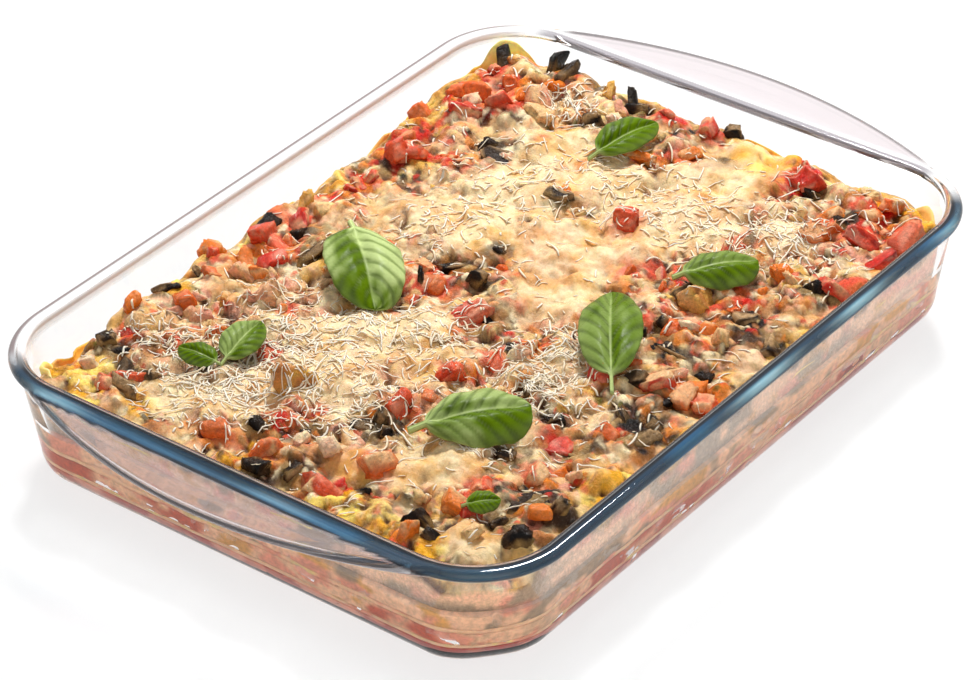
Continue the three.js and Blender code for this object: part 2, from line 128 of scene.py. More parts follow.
_, dish_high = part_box("glass_dish")
DISH_HEIGHT = dish_high.z / MM
RIM_HALF_LENGTH = dish_high.x / MM - HANDLE_REACH
RIM_HALF_WIDTH = dish_high.y / MM
STRAIGHT_HALF_LENGTH = RIM_HALF_LENGTH - CORNER_RADIUS
STRAIGHT_HALF_WIDTH = RIM_HALF_WIDTH - CORNER_RADIUS
crust_low, crust_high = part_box("cheese_topping")
CRUST_BOTTOM = crust_low.z / MM
CRUST_HALF_LENGTH = crust_high.x / MM
CRUST_HALF_WIDTH = crust_high.y / MM
CRUST_EDGE = CRUST_BOTTOM + CRUST_EDGE_HEIGHT

# Places in the photo, in pixels: what lies on the cheese
TOMATO_PIXELS = [
    (213, 257), (279, 254), (106, 387), (134, 332), (268, 357), (312, 414), (495, 75), (486, 105),
    (422, 113), (406, 142), (397, 162), (443, 157), (413, 158), (336, 201), (667, 121), (708, 135),
    (796, 178), (786, 186), (808, 184), (739, 241), (831, 221), (885, 225), (893, 211), (878, 263),
    (626, 226), (628, 275), (660, 276), (742, 301), (833, 295), (658, 388), (685, 397), (708, 402),
    (674, 335), (601, 383), (421, 267), (436, 287), (468, 317), (493, 362), (529, 350), (395, 410),
    (452, 378), (217, 434), (282, 425), (267, 453), (326, 492), (378, 467), (484, 489), (606, 437),
    (557, 444), (538, 478), (300, 222), (350, 190), (455, 98), (510, 90), (372, 176), (905, 240),
    (262, 242), (288, 243), (272, 264), (475, 96), (500, 112), (466, 116), (822, 236), (858, 242), (870, 216),
]
ORANGE_PIXELS = [
    (436, 125), (547, 92), (642, 159), (674, 109), (409, 541), (213, 250), (437, 283), (380, 467),
    (690, 392), (282, 314), (783, 276), (565, 196), (455, 505), (246, 262), (690, 158), (835, 215),
    (522, 100), (256, 252),
]
AUBERGINE_PIXELS = [
    (504, 51), (557, 73), (566, 80), (386, 173), (490, 146), (594, 127), (605, 91), (635, 114),
    (691, 135), (733, 135), (728, 162), (561, 205), (812, 192), (845, 220), (167, 287), (267, 223),
    (298, 232), (318, 256), (120, 354), (127, 378), (146, 375), (206, 376), (660, 326), (671, 351),
    (683, 295), (815, 295), (750, 342), (771, 344), (706, 372), (665, 404), (656, 424), (640, 438),
    (491, 319), (511, 355), (452, 262), (500, 253), (479, 287), (380, 421), (389, 430), (260, 430),
    (303, 435), (257, 471), (294, 473), (360, 487), (421, 523), (432, 542), (531, 501), (545, 508),
    (559, 517), (499, 522), (588, 451), (504, 455), (531, 392), (556, 421), (624, 417), (745, 320),
]
PALE_PIXELS = [
    (198, 299), (194, 318), (146, 326), (275, 300), (372, 201), (608, 103), (535, 105), (436, 180),
    (240, 272), (225, 300), (178, 310), (330, 212), (540, 120), (620, 118), (700, 300), (720, 345),
    (600, 300), (350, 440), (330, 455), (440, 430), (560, 470), (470, 540), (300, 390), (250, 300),
]
YELLOW_PIXELS = [
    (75, 380), (62, 372), (90, 368), (84, 394), (100, 372), (525, 52), (516, 60), (536, 58), (546, 62),
    (925, 215), (915, 235), (930, 228), (918, 205), (340, 180), (326, 190), (468, 82), (454, 96),
    (384, 525), (360, 512), (330, 500), (430, 548), (600, 492), (622, 476), (250, 455), (140, 405),
    (745, 158), (760, 172), (706, 128), (845, 180), (868, 192), (180, 290), (250, 236), (770, 165),
]
# Pixel place, then radius in millimetres
CHEESE_POOLS = [
    (721, 184, 30), (749, 167, 24), (560, 250, 32), (520, 195, 34), (480, 235, 26), (645, 230, 28),
    (440, 215, 20), (350, 335, 28), (430, 370, 20), (330, 375, 28), (560, 300, 26), (700, 225, 28),
    (600, 185, 26), (250, 395, 22), (510, 435, 16), (450, 465, 20), (400, 470, 16), (600, 265, 24),
    (360, 460, 18), (560, 150, 22), (790, 240, 20), (420, 330, 20), (180, 400, 18), (470, 545, 16),
]
SHRED_CLUSTERS = [
    (215, 395, 24), (265, 380, 26), (330, 355, 28), (390, 340, 24), (480, 200, 24), (530, 180, 24),
    (605, 175, 20), (660, 215, 22), (790, 230, 24), (800, 245, 16), (720, 240, 16), (520, 371, 16),
    (560, 400, 18), (300, 300, 24), (430, 240, 18), (180, 385, 18), (380, 390, 24), (540, 385, 12),
    (350, 330, 20), (290, 350, 24), (350, 415, 16), (240, 400, 18), (440, 330, 16), (160, 340, 12),
    (570, 110, 10), (250, 340, 16), (480, 445, 10), (575, 350, 14), (215, 375, 14), (310, 385, 20),
]

SEED = 7


# Colours and numbers

def colour(code):
    """Linear colour of a hex code such as e9c98e."""
    channels = [int(code[place:place + 2], 16) / 255 for place in (0, 2, 4)]
    return np.array([c / 12.92 if c <= 0.04045 else ((c + 0.055) / 1.055) ** 2.4 for c in channels])


CREAM = colour("f0cb8a")
PALE_CREAM = colour("fdeabf")
BUTTER = colour("eab456")
MELT = colour("e2ae62")
PALE_MELT = colour("f2d8a6")
TOAST = colour("c47a2e")
# Painted shade for the crevices of the crust
CREVICE_SHADE = colour("4e2410")
SHRED = colour("fff8e8")
TOMATO_RED = colour("cd1e0e")
TOMATO_LIGHT = colour("e6583a")
TOMATO_DEEP = colour("8c0b07")
ORANGE = colour("ee8422")
PINK = colour("e8a286")
AUBERGINE_SKIN = colour("0c0807")
AUBERGINE_FLESH = colour("9c7c4c")
AUBERGINE_DARK = colour("46301f")
TAN = colour("c07a44")
TAN_PALE = colour("eab884")
PASTA_YELLOW = colour("f0ab22")
PASTA_PALE = colour("ffdc6c")
# Painted light for the frill, lit through from behind at the corners
PASTA_PAINTED_BACKLIGHT = colour("fff3a4")
HERB = colour("65621e")
SAUCE_RED = colour("b63a26")
SAUCE_LIGHT = colour("e08466")
PEACH = colour("fac39a")
ROSE = colour("ec9a7c")
BRICK = colour("c95c3c")
GREY_BEIGE = colour("e2b38c")
AMBER = colour("e0a054")
DRAB = colour("a88a6c")
SAUCE_COLOURS = (SAUCE_RED, SAUCE_LIGHT, BRICK, ROSE)
FILLING_COLOURS = (PEACH, ROSE, PEACH, GREY_BEIGE, AMBER, ROSE, BRICK)
UPPER_COLOURS = (PEACH, GREY_BEIGE, PEACH, AMBER, ROSE, PEACH, DRAB)


def smoothstep(low, high, value):
    share = np.clip((value - low) / (high - low), 0, 1)
    return share * share * (3 - 2 * share)


def blend(first, second, share):
    """Mix of two colours, or arrays of them, by a share from 0 to 1."""
    share = np.asarray(share)[..., None]
    return first * (1 - share) + second * share


def field(x, y, cell, seed):
    """Smooth random field from 0 to 1 with features about one cell wide."""
    size = 256
    grid = np.random.default_rng(seed).random((size, size))
    u = np.asarray(x) / cell + size / 2
    v = np.asarray(y) / cell + size / 2
    left = np.floor(u).astype(int)
    low = np.floor(v).astype(int)
    across = smoothstep(0, 1, u - left)
    along = smoothstep(0, 1, v - low)
    near = grid[left % size, low % size] * (1 - across) + grid[(left + 1) % size, low % size] * across
    far = grid[left % size, (low + 1) % size] * (1 - across)
    far = far + grid[(left + 1) % size, (low + 1) % size] * across
    return near * (1 - along) + far * along


def rough_field(x, y, cell, seed, octaves=4):
    """Sum of fields, each finer and weaker than the one before, from 0 to 1."""
    total = 0
    weight_sum = 0
    for octave in range(octaves):
        weight = 0.5 ** octave
        total = total + weight * field(x, y, cell / 2 ** octave, seed + octave)
        weight_sum += weight
    return total / weight_sum


# Camera and photo places

def camera_axes():
    azimuth = math.radians(CAMERA_AZIMUTH)
    elevation = math.radians(CAMERA_ELEVATION)
    roll = math.radians(CAMERA_ROLL)
    flat = math.cos(elevation)
    back = np.array([math.sin(azimuth) * flat, -math.cos(azimuth) * flat, math.sin(elevation)])
    level = np.array([math.cos(azimuth), math.sin(azimuth), 0])
    upright = np.cross(back, level)
    right = math.cos(roll) * level + math.sin(roll) * upright
    up = -math.sin(roll) * level + math.cos(roll) * upright
    return right, up, back


CAMERA_RIGHT, CAMERA_UP, CAMERA_BACK = camera_axes()
CAMERA_PLACE = np.array(CAMERA_TARGET) + CAMERA_BACK * CAMERA_DISTANCE


def photo_spot(pixel, height):
    """Plan position of a photo pixel on the level plane at a height."""
    sideways = CAMERA_RIGHT * (pixel[0] - PHOTO_WIDTH / 2) / FOCAL_PIXELS
    upwards = CAMERA_UP * (PHOTO_HEIGHT / 2 - pixel[1]) / FOCAL_PIXELS
    ray = sideways + upwards - CAMERA_BACK
    reach = (height - CAMERA_PLACE[2]) / ray[2]
    return (CAMERA_PLACE + ray * reach)[:2]


def add_object(name, data):
    """A new object in the scene."""
    thing = bpy.data.objects.new(name, data)
    bpy.context.scene.collection.objects.link(thing)
    return thing


def make_camera():
    data = bpy.data.cameras.new("camera")
    data.sensor_width = SENSOR_WIDTH
    data.lens = FOCAL_PIXELS * SENSOR_WIDTH / PHOTO_WIDTH
    data.clip_start = 0.05
    data.clip_end = 50
    camera = add_object("camera", data)
    turn = Matrix((CAMERA_RIGHT, CAMERA_UP, CAMERA_BACK)).transposed()
    camera.matrix_world = Matrix.Translation(Vector(CAMERA_PLACE * MM)) @ turn.to_4x4()
    bpy.context.scene.camera = camera


# Meshes

def painted_mesh(name, points, faces, tint, material):
    """A smooth mesh from millimetre points, with a colour, and at times a fourth value, at each point."""
    mesh = bpy.data.meshes.new(name)
    mesh.from_pydata((np.asarray(points) * MM).tolist(), [], faces)
    layer = mesh.color_attributes.new("tint", "FLOAT_COLOR", "POINT")
    rgba = np.ones((len(points), 4))
    rgba[:, :tint.shape[1]] = tint
    layer.data.foreach_set("color", rgba.ravel())
    mesh.materials.append(material)
    mesh.shade_smooth()
    return mesh


def add_piece(mesh, replaced):
    """A piece of the object, in place of some nodes of the construction."""
    piece = add_object(mesh.name, mesh)
    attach(piece, "root")
    if replaced:
        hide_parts(*replaced)
    return piece


def make_piece(name, points, faces, material, tint, replaced=()):
    return add_piece(painted_mesh(name, points, faces, tint, material), replaced)


def boundary(work):
    """The open edges of a mesh."""
    return [edge for edge in work.edges if edge.is_boundary]


def fix_order(work):
    """Sorts edges and faces by their corners, because extruding lists them differently in each run."""
    work.verts.index_update()
    count = len(work.verts)

    def by_corners(part):
        numbers = [vert.index for vert in part.verts]
        return max(numbers) * count + min(numbers)

    work.edges.sort(key=by_corners)
    work.faces.sort(key=by_corners)


def ring_faces(rows, count):
    """Faces of a closed body from a start point through rings of points to a finish point."""
    faces = []
    last = rows * count + 1
    for place in range(count):
        following = (place + 1) % count
        faces.append((0, 1 + following, 1 + place))
        for row in range(rows - 1):
            low = 1 + row * count
            high = low + count
            faces.append((low + place, low + following, high + following, high + place))
        top = 1 + (rows - 1) * count
        faces.append((top + place, top + following, last))
    return faces


def ring_points(start, rings, finish):
    """Points in the order that ring_faces numbers them."""
    return np.vstack([[start], np.concatenate(rings), [finish]])


def rim_walk(pitch):
    """Stations along the outer edge of the rim: plan x, y and outward direction, anticlockwise."""
    stations = []
    centres = [
        (STRAIGHT_HALF_LENGTH, -STRAIGHT_HALF_WIDTH),
        (STRAIGHT_HALF_LENGTH, STRAIGHT_HALF_WIDTH),
        (-STRAIGHT_HALF_LENGTH, STRAIGHT_HALF_WIDTH),
        (-STRAIGHT_HALF_LENGTH, -STRAIGHT_HALF_WIDTH),
    ]
    arc_steps = math.ceil(CORNER_RADIUS * math.pi / 2 / pitch)
    for corner, centre in enumerate(centres):
        for step in range(arc_steps + 1):
            stations.append((*centre, (corner - 1 + step / arc_steps) * math.pi / 2))
        following = centres[(corner + 1) % 4]
        run = math.dist(centre, following)
        steps = math.ceil(run / pitch)
        for step in range(1, steps):
            share = step / steps
            x = centre[0] + (following[0] - centre[0]) * share
            y = centre[1] + (following[1] - centre[1]) * share
            stations.append((x, y, corner * math.pi / 2))
    table = np.array(stations)
    out = np.stack([np.cos(table[:, 2]), np.sin(table[:, 2])], axis=1)
    return table[:, :2] + CORNER_RADIUS * out, out


def rim_inset(x, y):
    """Distance inwards from the outer edge of the rim, and the outward direction there."""
    over_x = np.abs(x) - STRAIGHT_HALF_LENGTH
    over_y = np.abs(y) - STRAIGHT_HALF_WIDTH
    beyond_x = np.maximum(over_x, 0)
    beyond_y = np.maximum(over_y, 0)
    beyond = np.hypot(beyond_x, beyond_y)
    inset = CORNER_RADIUS - beyond - np.minimum(np.maximum(over_x, over_y), 0)
    sideways = over_x > over_y
    corner = beyond > 1e-6
    out_x = np.where(corner, beyond_x / np.maximum(beyond, 1e-6), sideways * 1.0) * np.sign(x)
    out_y = np.where(corner, beyond_y / np.maximum(beyond, 1e-6), ~sideways * 1.0) * np.sign(y)
    return inset, out_x, out_y


def wall_lean(out_x, out_y):
    """How far the wall leans in, by its outward direction: most at the corners."""
    return END_LEAN * out_x ** 2 + SIDE_LEAN * out_y ** 2 + CORNER_LEAN * (2 * out_x * out_y) ** 2


def corner_share(out, x_sign, y_sign):
    """How squarely the rim faces one corner of the dish, from 0 to 1."""
    return (2 * np.maximum(x_sign * out[:, 0], 0) * np.maximum(y_sign * out[:, 1], 0)) ** 2


def wall_inset(lean, z):
    """Inset of the outer face of the glass at a height."""
    return RIM_OVERHANG + lean * (1 - z / DISH_HEIGHT)


def cavity_inset(lean, z):
    """Inset of the inner face of the glass at a height, with its rounded foot."""
    foot_top = BASE_THICKNESS + CAVITY_RADIUS
    wall = wall_inset(lean, np.maximum(z, foot_top)) + WALL_THICKNESS
    drop = np.clip(foot_top - z, 0, CAVITY_RADIUS)
    return wall + CAVITY_RADIUS - np.sqrt(CAVITY_RADIUS ** 2 - drop ** 2)


def edge_distance(x, y):
    """Distance inwards from the inner face of the glass at the height of the crust's edge."""
    inset, out_x, out_y = rim_inset(x, y)
    return inset - cavity_inset(wall_lean(out_x, out_y), CRUST_EDGE)


def clear_of_glass(points):
    """Moves a whole piece inwards as far as it would reach into the glass."""
    inset, out_x, out_y = rim_inset(points[:, 0], points[:, 1])
    gap = inset - cavity_inset(wall_lean(out_x, out_y), points[:, 2])
    worst = gap.argmin()
    push = max(0, EDGE_CLEARANCE - gap[worst])
    return points - push * np.array([out_x[worst], out_y[worst], 0])


# Glass dish

def section_arc(inset, z, radius, start, end, steps):
    """Points on an arc of the section, by angles in degrees."""
    angles = np.radians(np.linspace(start, end, steps + 1))
    return [(inset + radius * math.cos(angle), z + radius * math.sin(angle)) for angle in angles]


def glass_section(reach, lean):
    """Section of the glass from under the base, up the wall, round the rim and down to the floor."""
    share = reach / HANDLE_REACH
    depth = RIM_DEPTH + (HANDLE_THICKNESS - RIM_DEPTH) * share
    edge_top = DISH_HEIGHT - HANDLE_DROP * share
    underside = edge_top - depth
    edge_radius = depth / 2
    dip = edge_top - HANDLE_SCOOP * share
    foot = wall_inset(lean, FOOT_RADIUS) + FOOT_RADIUS
    cavity_top = BASE_THICKNESS + CAVITY_RADIUS
    cavity_centre = wall_inset(lean, cavity_top) + WALL_THICKNESS + CAVITY_RADIUS
    walls = [(wall_inset(lean, z), z) for z in np.linspace(FOOT_RADIUS + 6, underside - COVE, 5)]
    root = wall_inset(lean, underside)
    cove = [(root + 0.1, underside - COVE * 0.4), (root - 0.5, underside)]
    flat_run = edge_radius - reach - root + 0.5
    flat = [(root - 0.5 + flat_run * place, underside) for place in (0.03, 0.5, 0.95)]
    scoop = [(edge_radius - reach * place + RIM_STEP, edge_top + (dip - edge_top) * weight)
             for place, weight in HANDLE_TREAD]
    inner = section_arc(RIM_WIDTH - RIM_ROUNDING, DISH_HEIGHT - RIM_ROUNDING, RIM_ROUNDING, 90, 0, 6)
    inner_walls = [(wall_inset(lean, z) + WALL_THICKNESS, z)
                   for z in np.linspace(DISH_HEIGHT - RIM_ROUNDING - 4, cavity_top + 4, 4)]
    return [
        (foot + FOOT_RING_WIDTH + 3, RECESS_DEPTH),
        (foot + FOOT_RING_WIDTH + RECESS_DEPTH, RECESS_DEPTH),
        (foot + FOOT_RING_WIDTH, 0),
        (foot + 1, 0),
        *section_arc(foot, FOOT_RADIUS, FOOT_RADIUS, -90, -180, 14),
        *walls,
        *cove,
        *flat,
        *section_arc(edge_radius - reach, underside + edge_radius, edge_radius, -90, -270, 14),
        *scoop,
        (edge_radius + RIM_STEP * 2, dip + 0.1 * share),
        (edge_radius + RIM_STEP * 2.6, (dip + DISH_HEIGHT) / 2),
        *[(edge_radius + RIM_STEP * place, DISH_HEIGHT) for place in (3.4, 4.2, 5, 5.8)],
        *inner,
        *inner_walls,
        *section_arc(cavity_centre, cavity_top, CAVITY_RADIUS, 180, 270, 14),
        (cavity_centre + 4, BASE_THICKNESS),
    ]


# Colours of the glass, then how clear it is. Besides the clear glass and the faint flange tint, these are
# painted shade and painted light; the blue band on the near rim is the glass's tint and painted shade
# together.
CLEAR = np.array([*colour("fdfefe"), 1])
RIM_PAINTED_SHADE = np.array([*colour("0c1420"), 0.3])
RIM_BLUE_AND_SHADE = np.array([*colour("23648f"), 0.38])
RIM_DARK_BLUE_AND_SHADE = np.array([*colour("20425c"), 0.38])
RIM_PAINTED_GLINT = np.array([*colour("a2e0f6"), 0.4])
FAR_RIM_PAINTED_SHADE = np.array([*colour("9c969c"), 0.6])
FAR_PAINTED_SHADE_LINE = np.array([*colour("7d6c6c"), 0.3])
FAR_LIP_PAINTED_LIGHT = np.array([*colour("fbf7f7"), 0.12])
HANDLE_PAINTED_SHADE = np.array([*colour("565052"), 0.5])
FLANGE = np.array([*colour("ede5e7"), 0.97])
# Pixel places of the painted glints, where the rim is painted lightest, each with a radius in millimetres and
# a share
PAINTED_GLINT_PLACES = [
    (768, 382, 18, 1), (862, 302, 16, 0.9), (946, 226, 10, 0.6), (58, 398, 14, 0.5), (278, 498, 18, 0.3),
]


def glass_tint(plan, inset, z, out, along, reach):
    """Clear glass; on the near rim a band of blue tint and painted shade, with painted glints; painted grey
    shade along the far rim, a painted near-white lip and painted dark shade along the handles' edges.
    """
    over = RIM_WIDTH - inset + 0.9 * (DISH_HEIGHT - z)
    # The band's blue is the glass's own tint and painted shade together, darker or lighter at random along
    # the rim.
    rim_blue_and_painted_light = blend(RIM_BLUE_AND_SHADE, RIM_DARK_BLUE_AND_SHADE, smoothstep(0.35, 0.65, field(along, along * 0, 40, 27)))
    # Painted glints: lighter blue on the band at fixed places along the rim.
    painted_glint = np.zeros(len(z))
    for column, row, radius, share in PAINTED_GLINT_PLACES:
        apart = plan - photo_spot((column, row), DISH_HEIGHT)
        painted_glint = np.maximum(painted_glint, share * np.exp(-(apart ** 2).sum(axis=1) / radius ** 2))
    rim_blue_and_painted_light = blend(rim_blue_and_painted_light, RIM_PAINTED_GLINT, painted_glint * smoothstep(4.2, 6, over) * (1 - smoothstep(8.5, 10, over)))
    # Painted shade: dark lines along both edges of the band, and darker over the +x -y corner.
    rim_blue_and_painted_light = blend(rim_blue_and_painted_light, RIM_PAINTED_SHADE, np.maximum(1 - smoothstep(3.4, 4.4, over), smoothstep(9.6, 10.6, over)))
    rim_blue_and_painted_light = blend(rim_blue_and_painted_light, RIM_PAINTED_SHADE, 0.75 * corner_share(out, 1, -1))
    on_band = smoothstep(1.8, 2.6, over) * (1 - smoothstep(11.6, 12.4, over))
    on_band = on_band * (1 - smoothstep(5.4, 6.2, inset))
    on_band = on_band * smoothstep(DISH_HEIGHT - 4.6, DISH_HEIGHT - 3.4, z)
    # The band lies only on the near sides, the -x end and the -y side: its blue there is tint and painted
    # shade together.
    facing = -out[:, 0] * 0.8 - out[:, 1] * 0.6 - 0.4 * smoothstep(0, 0.4, out[:, 1])
    near = smoothstep(-0.35, 0.1, facing)
    on_top = smoothstep(DISH_HEIGHT - 1.6, DISH_HEIGHT - 0.8, z) * smoothstep(-1.2, 0.3, inset)
    on_rim = smoothstep(DISH_HEIGHT - 4, DISH_HEIGHT - 2.5, z)
    # Painted shade: a grey band across the top of the rim at the +x end.
    far_end = smoothstep(0.9, 0.99, out[:, 0]) * smoothstep(3.2, 4.2, inset) * on_top
    # Painted shade: a thin grey-brown line on the outer edge of the rim along the +y side.
    far_side = smoothstep(0.3, 0.8, out[:, 1]) * (1 - smoothstep(2.6, 3.4, inset)) * on_rim
    # Painted light: matt near-white glass along the inner lip of the +y side, for the bright surroundings
    # seen through it.
    lip = smoothstep(DISH_HEIGHT - 3.2, DISH_HEIGHT - 2.2, z)
    far_edge = smoothstep(0.3, 0.8, out[:, 1]) * smoothstep(3.6, 4.4, inset) * lip
    handle = smoothstep(0.5, 4, reach)
    # Painted shade: a dark line along the outer edge of each handle.
    edge_width = np.where(out[:, 0] > 0, 1.1, 0.6)
    edge = handle * (1 - smoothstep(edge_width * 0.6, edge_width, inset + reach)) * 0.9
    tint = np.broadcast_to(CLEAR, (len(z), 4))
    tint = blend(tint, FLANGE, handle * smoothstep(0.5, -1, inset))
    tint = blend(tint, FAR_RIM_PAINTED_SHADE, far_end * (1 - near))
    tint = blend(tint, FAR_PAINTED_SHADE_LINE, far_side * (1 - near))
    tint = blend(tint, FAR_LIP_PAINTED_LIGHT, far_edge * (1 - near))
    tint = blend(tint, rim_blue_and_painted_light, on_band * near)
    return blend(tint, HANDLE_PAINTED_SHADE, edge)


def make_glass(material):
    stations, out = rim_walk(GLASS_PITCH)
    along = np.arange(len(stations)) * GLASS_PITCH
    across = stations[:, 1] / (HANDLE_SPAN / 2)
    on_end = np.abs(out[:, 0]) > np.abs(out[:, 1])
    reaches = np.where(on_end, HANDLE_REACH * np.maximum(1 - across ** 2, 0), 0)
    leans = wall_lean(out[:, 0], out[:, 1])
    sections = np.array([glass_section(reach, lean) for reach, lean in zip(reaches, leans)])
    rings = []
    tints = [CLEAR[None]]
    for row in range(sections.shape[1]):
        inset = sections[:, row, 0]
        z = sections[:, row, 1]
        plan = stations - out * inset[:, None]
        rings.append(np.column_stack([plan, z]))
        tints.append(glass_tint(plan, inset, z, out, along, reaches))
    tints.append(CLEAR[None])
    points = ring_points((0, 0, RECESS_DEPTH), rings, (0, 0, BASE_THICKNESS))
    faces = ring_faces(len(rings), len(stations))
    make_piece("clear_dish", points, faces, material, np.concatenate(tints), ("glass_dish",))


# Layers of the bake, seen through the glass

def layer_wave(x, y):
    """How far the edges of the layers rise and sink along the glass."""
    return 3.4 * (rough_field(x, y, 24, 21, 3) - 0.5)


def layer_walk():
    """Stations for a layer: plan places on the rim, outward directions, lengths along and wall leans."""
    stations, out = rim_walk(LAYER_PITCH)
    return stations, out, np.arange(len(stations)) * LAYER_PITCH, wall_lean(out[:, 0], out[:, 1])


def side_tint(palette, along, z, seed):
    """Mottled colours along the cut side of a layer."""
    tint = np.broadcast_to(palette[0], (len(along), 3)).copy()
    for place, shade in enumerate(palette[1:]):
        patch = rough_field(along, z * 1.6, 9 + 3 * place, seed + 11 * place, 3)
        tint = blend(tint, shade, smoothstep(0.55, 0.66, patch))
    return tint


def layer_rings(low, high, steps, bulge, seed):
    """Rings up the side of a layer that fills the dish: it wets the glass, with a few hollows."""
    stations, out, along, lean = layer_walk()
    wave = layer_wave(stations[:, 0], stations[:, 1])
    rings = []
    levels = []
    for step in range(steps + 1):
        z = low + (high - low) * step / steps
        level = z + wave * smoothstep(BASE_THICKNESS + 1, BASE_THICKNESS + 8, z)
        level = np.maximum(level, BASE_THICKNESS - WET)
        hollow = smoothstep(0.66, 0.8, rough_field(along, np.full(len(along), z * 1.5), 9, seed, 3))
        inset = cavity_inset(lean, level) - WET + bulge * hollow
        rings.append(np.column_stack([stations - out * inset[:, None], level]))
        levels.append(np.full(len(along), z))
    return rings, along, levels


def layer_heights(node):
    """Lowest and highest level of a node of the construction."""
    return (corner.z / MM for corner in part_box(node))


def side_tints(palette, cap, along, levels, seed):
    """Colours of a whole layer: one colour below and above, and mottled rings between."""
    sides = [side_tint(palette, along, level, seed) for level in levels]
    return np.concatenate([cap[None], *sides, cap[None]])


def make_layer(name, node, palette, material, bulge, seed):
    low, high = layer_heights(node)
    rings, along, levels = layer_rings(low, high, LAYER_STEPS, bulge, seed)
    points = ring_points((0, 0, low), rings, (0, 0, high))
    faces = ring_faces(len(rings), len(along))
    tints = side_tints(palette, palette[0], along, levels, seed)
    make_piece(name, points, faces, material, tints, (node,))


def make_sheets(name, nodes, rings, tints, low, high, material):
    """A pasta layer, cut across into sheets that lie side by side, each a closed piece."""
    points = ring_points((0, 0, low), rings, (0, 0, high))
    whole = painted_mesh(name, points, ring_faces(len(rings), len(rings[0])), tints, material)
    pitch = RIM_HALF_LENGTH * 2 / len(nodes)
    for place, node in enumerate(nodes):
        work = bmesh.new()
        work.from_mesh(whole)
        left = (place * pitch - RIM_HALF_LENGTH + SHEET_GAP / 2) * MM
        right = ((place + 1) * pitch - RIM_HALF_LENGTH - SHEET_GAP / 2) * MM
        for cut, side in ((left, -1), (right, 1)):
            everything = work.verts[:] + work.edges[:] + work.faces[:]
            bmesh.ops.bisect_plane(work, geom=everything, plane_co=(cut, 0, 0), plane_no=(side, 0, 0),
                                   clear_outer=True)
            bmesh.ops.holes_fill(work, edges=boundary(work))
        mesh = bpy.data.meshes.new(f"{name}_{place + 1}")
        work.to_mesh(mesh)
        work.free()
        mesh.materials.append(material)
        mesh.shade_smooth()
        add_piece(mesh, (node,))
    bpy.data.meshes.remove(whole)


def make_flat_pasta(name, nodes, material, seed):
    low, high = layer_heights(nodes[0])
    rings, along, levels = layer_rings(low, high, 3, 1.2, seed)
    tints = side_tints((PEACH, CREAM, ROSE, PEACH), PASTA_PALE, along, levels, seed)
    make_sheets(name, nodes, rings, tints, low, high, material)


def make_frilled_pasta(name, nodes, material, seed):
    """The top sheets, with edges that turn up along the glass in uneven frills."""
    low, _ = layer_heights(nodes[0])
    stations, out, along, lean = layer_walk()
    level_line = along * 0
    ripple = 6 * (rough_field(along, level_line, 21, seed, 2) - 0.5)
    ripple = ripple + 9 * (field(along, level_line, 50, seed + 5) - 0.5) - 1
    far_corner = corner_share(out, 1, 1)
    right_corner = corner_share(out, 1, -1)
    left_corner = corner_share(out, -1, 1)
    ripple = ripple + 13 * far_corner + 7 * right_corner + 8 * left_corner
    ripple = ripple - 5 * smoothstep(0.8, 0.95, out[:, 1]) * smoothstep(60, -40, stations[:, 0])
    away = 5 * smoothstep(0.35, 0.8, field(along, level_line, 11, seed + 7))
    browned = smoothstep(0.55, 0.75, rough_field(along, level_line, 16, seed + 9, 3))

    def ring_at(share, rise):
        level = low + rise + share ** 2 * (FRILL_HEIGHT + ripple)
        turned_in = FRILL_WIDTH * (1 - share) ** 1.5
        inset = cavity_inset(lean, level) + 1 + turned_in + away * share ** 2 + rise * 0.8
        return np.column_stack([stations - out * inset[:, None], level])

    def tint_at(share):
        shade = blend(PASTA_YELLOW, PASTA_PALE, field(along, level_line + share * 5, 14, seed + 2))
        creamy = smoothstep(0.4, 0.6, field(along, level_line + share * 9, 12, seed + 3))
        shade = blend(shade, CREAM, 0.6 * creamy)
        # Painted light: the frill is lighter yellow at the +x +y corner and, less, at the -x +y corner, as if
        # lit through from behind.
        shade = blend(shade, PASTA_PAINTED_BACKLIGHT, np.maximum(far_corner, 0.7 * left_corner))
        return blend(shade, TOAST, 0.4 * browned * share ** 3 * (1 - far_corner))

    shares = np.linspace(0, 1, FRILL_STEPS + 1)
    rings = [ring_at(share, 0) for share in shares]
    rings += [ring_at(share, SHEET_THICKNESS) for share in shares[::-1]]
    sides = [tint_at(share) for share in [*shares, *shares[::-1]]]
    tints = np.concatenate([PASTA_YELLOW[None], *sides, PASTA_YELLOW[None]])
    make_sheets(name, nodes, rings, tints, low, low + SHEET_THICKNESS, material)


# Cheese topping

def crust_level(x, y):
    """Height of the crust without its finer lumps: a low dome with large lumps in bent rows."""
    dome = CRUST_DOME * (1 - (1 - np.clip(edge_distance(x, y) / CRUST_SHOULDER, 0, 1)) ** 2)
    bend_x = np.sin(y / (CRUST_LUMP_WAVE * CRUST_SWIRL))
    bend_y = np.sin(x / (CRUST_LUMP_WAVE * CRUST_SWIRL))
    lump = np.sin(x / CRUST_LUMP_WAVE + bend_x) * np.sin(y / CRUST_LUMP_WAVE + bend_y)
    heaped = FAR_HEAP * smoothstep(60, 150, x) * smoothstep(-60, 70, y)
    return CRUST_EDGE + dome + CRUST_LUMP * lump + heaped


CHUNK_STEMS = ("tomato_chunk", "aubergine_wedge", "mushroom_piece")


def closeness(x, y, places):
    """How close a place is to the nearest of some (spot, reach) places, from 0 to 1."""
    share = np.zeros_like(x)
    for spot, reach in places:
        share = np.maximum(share, np.exp(-((x - spot[0]) ** 2 + (y - spot[1]) ** 2) / reach ** 2))
    return share


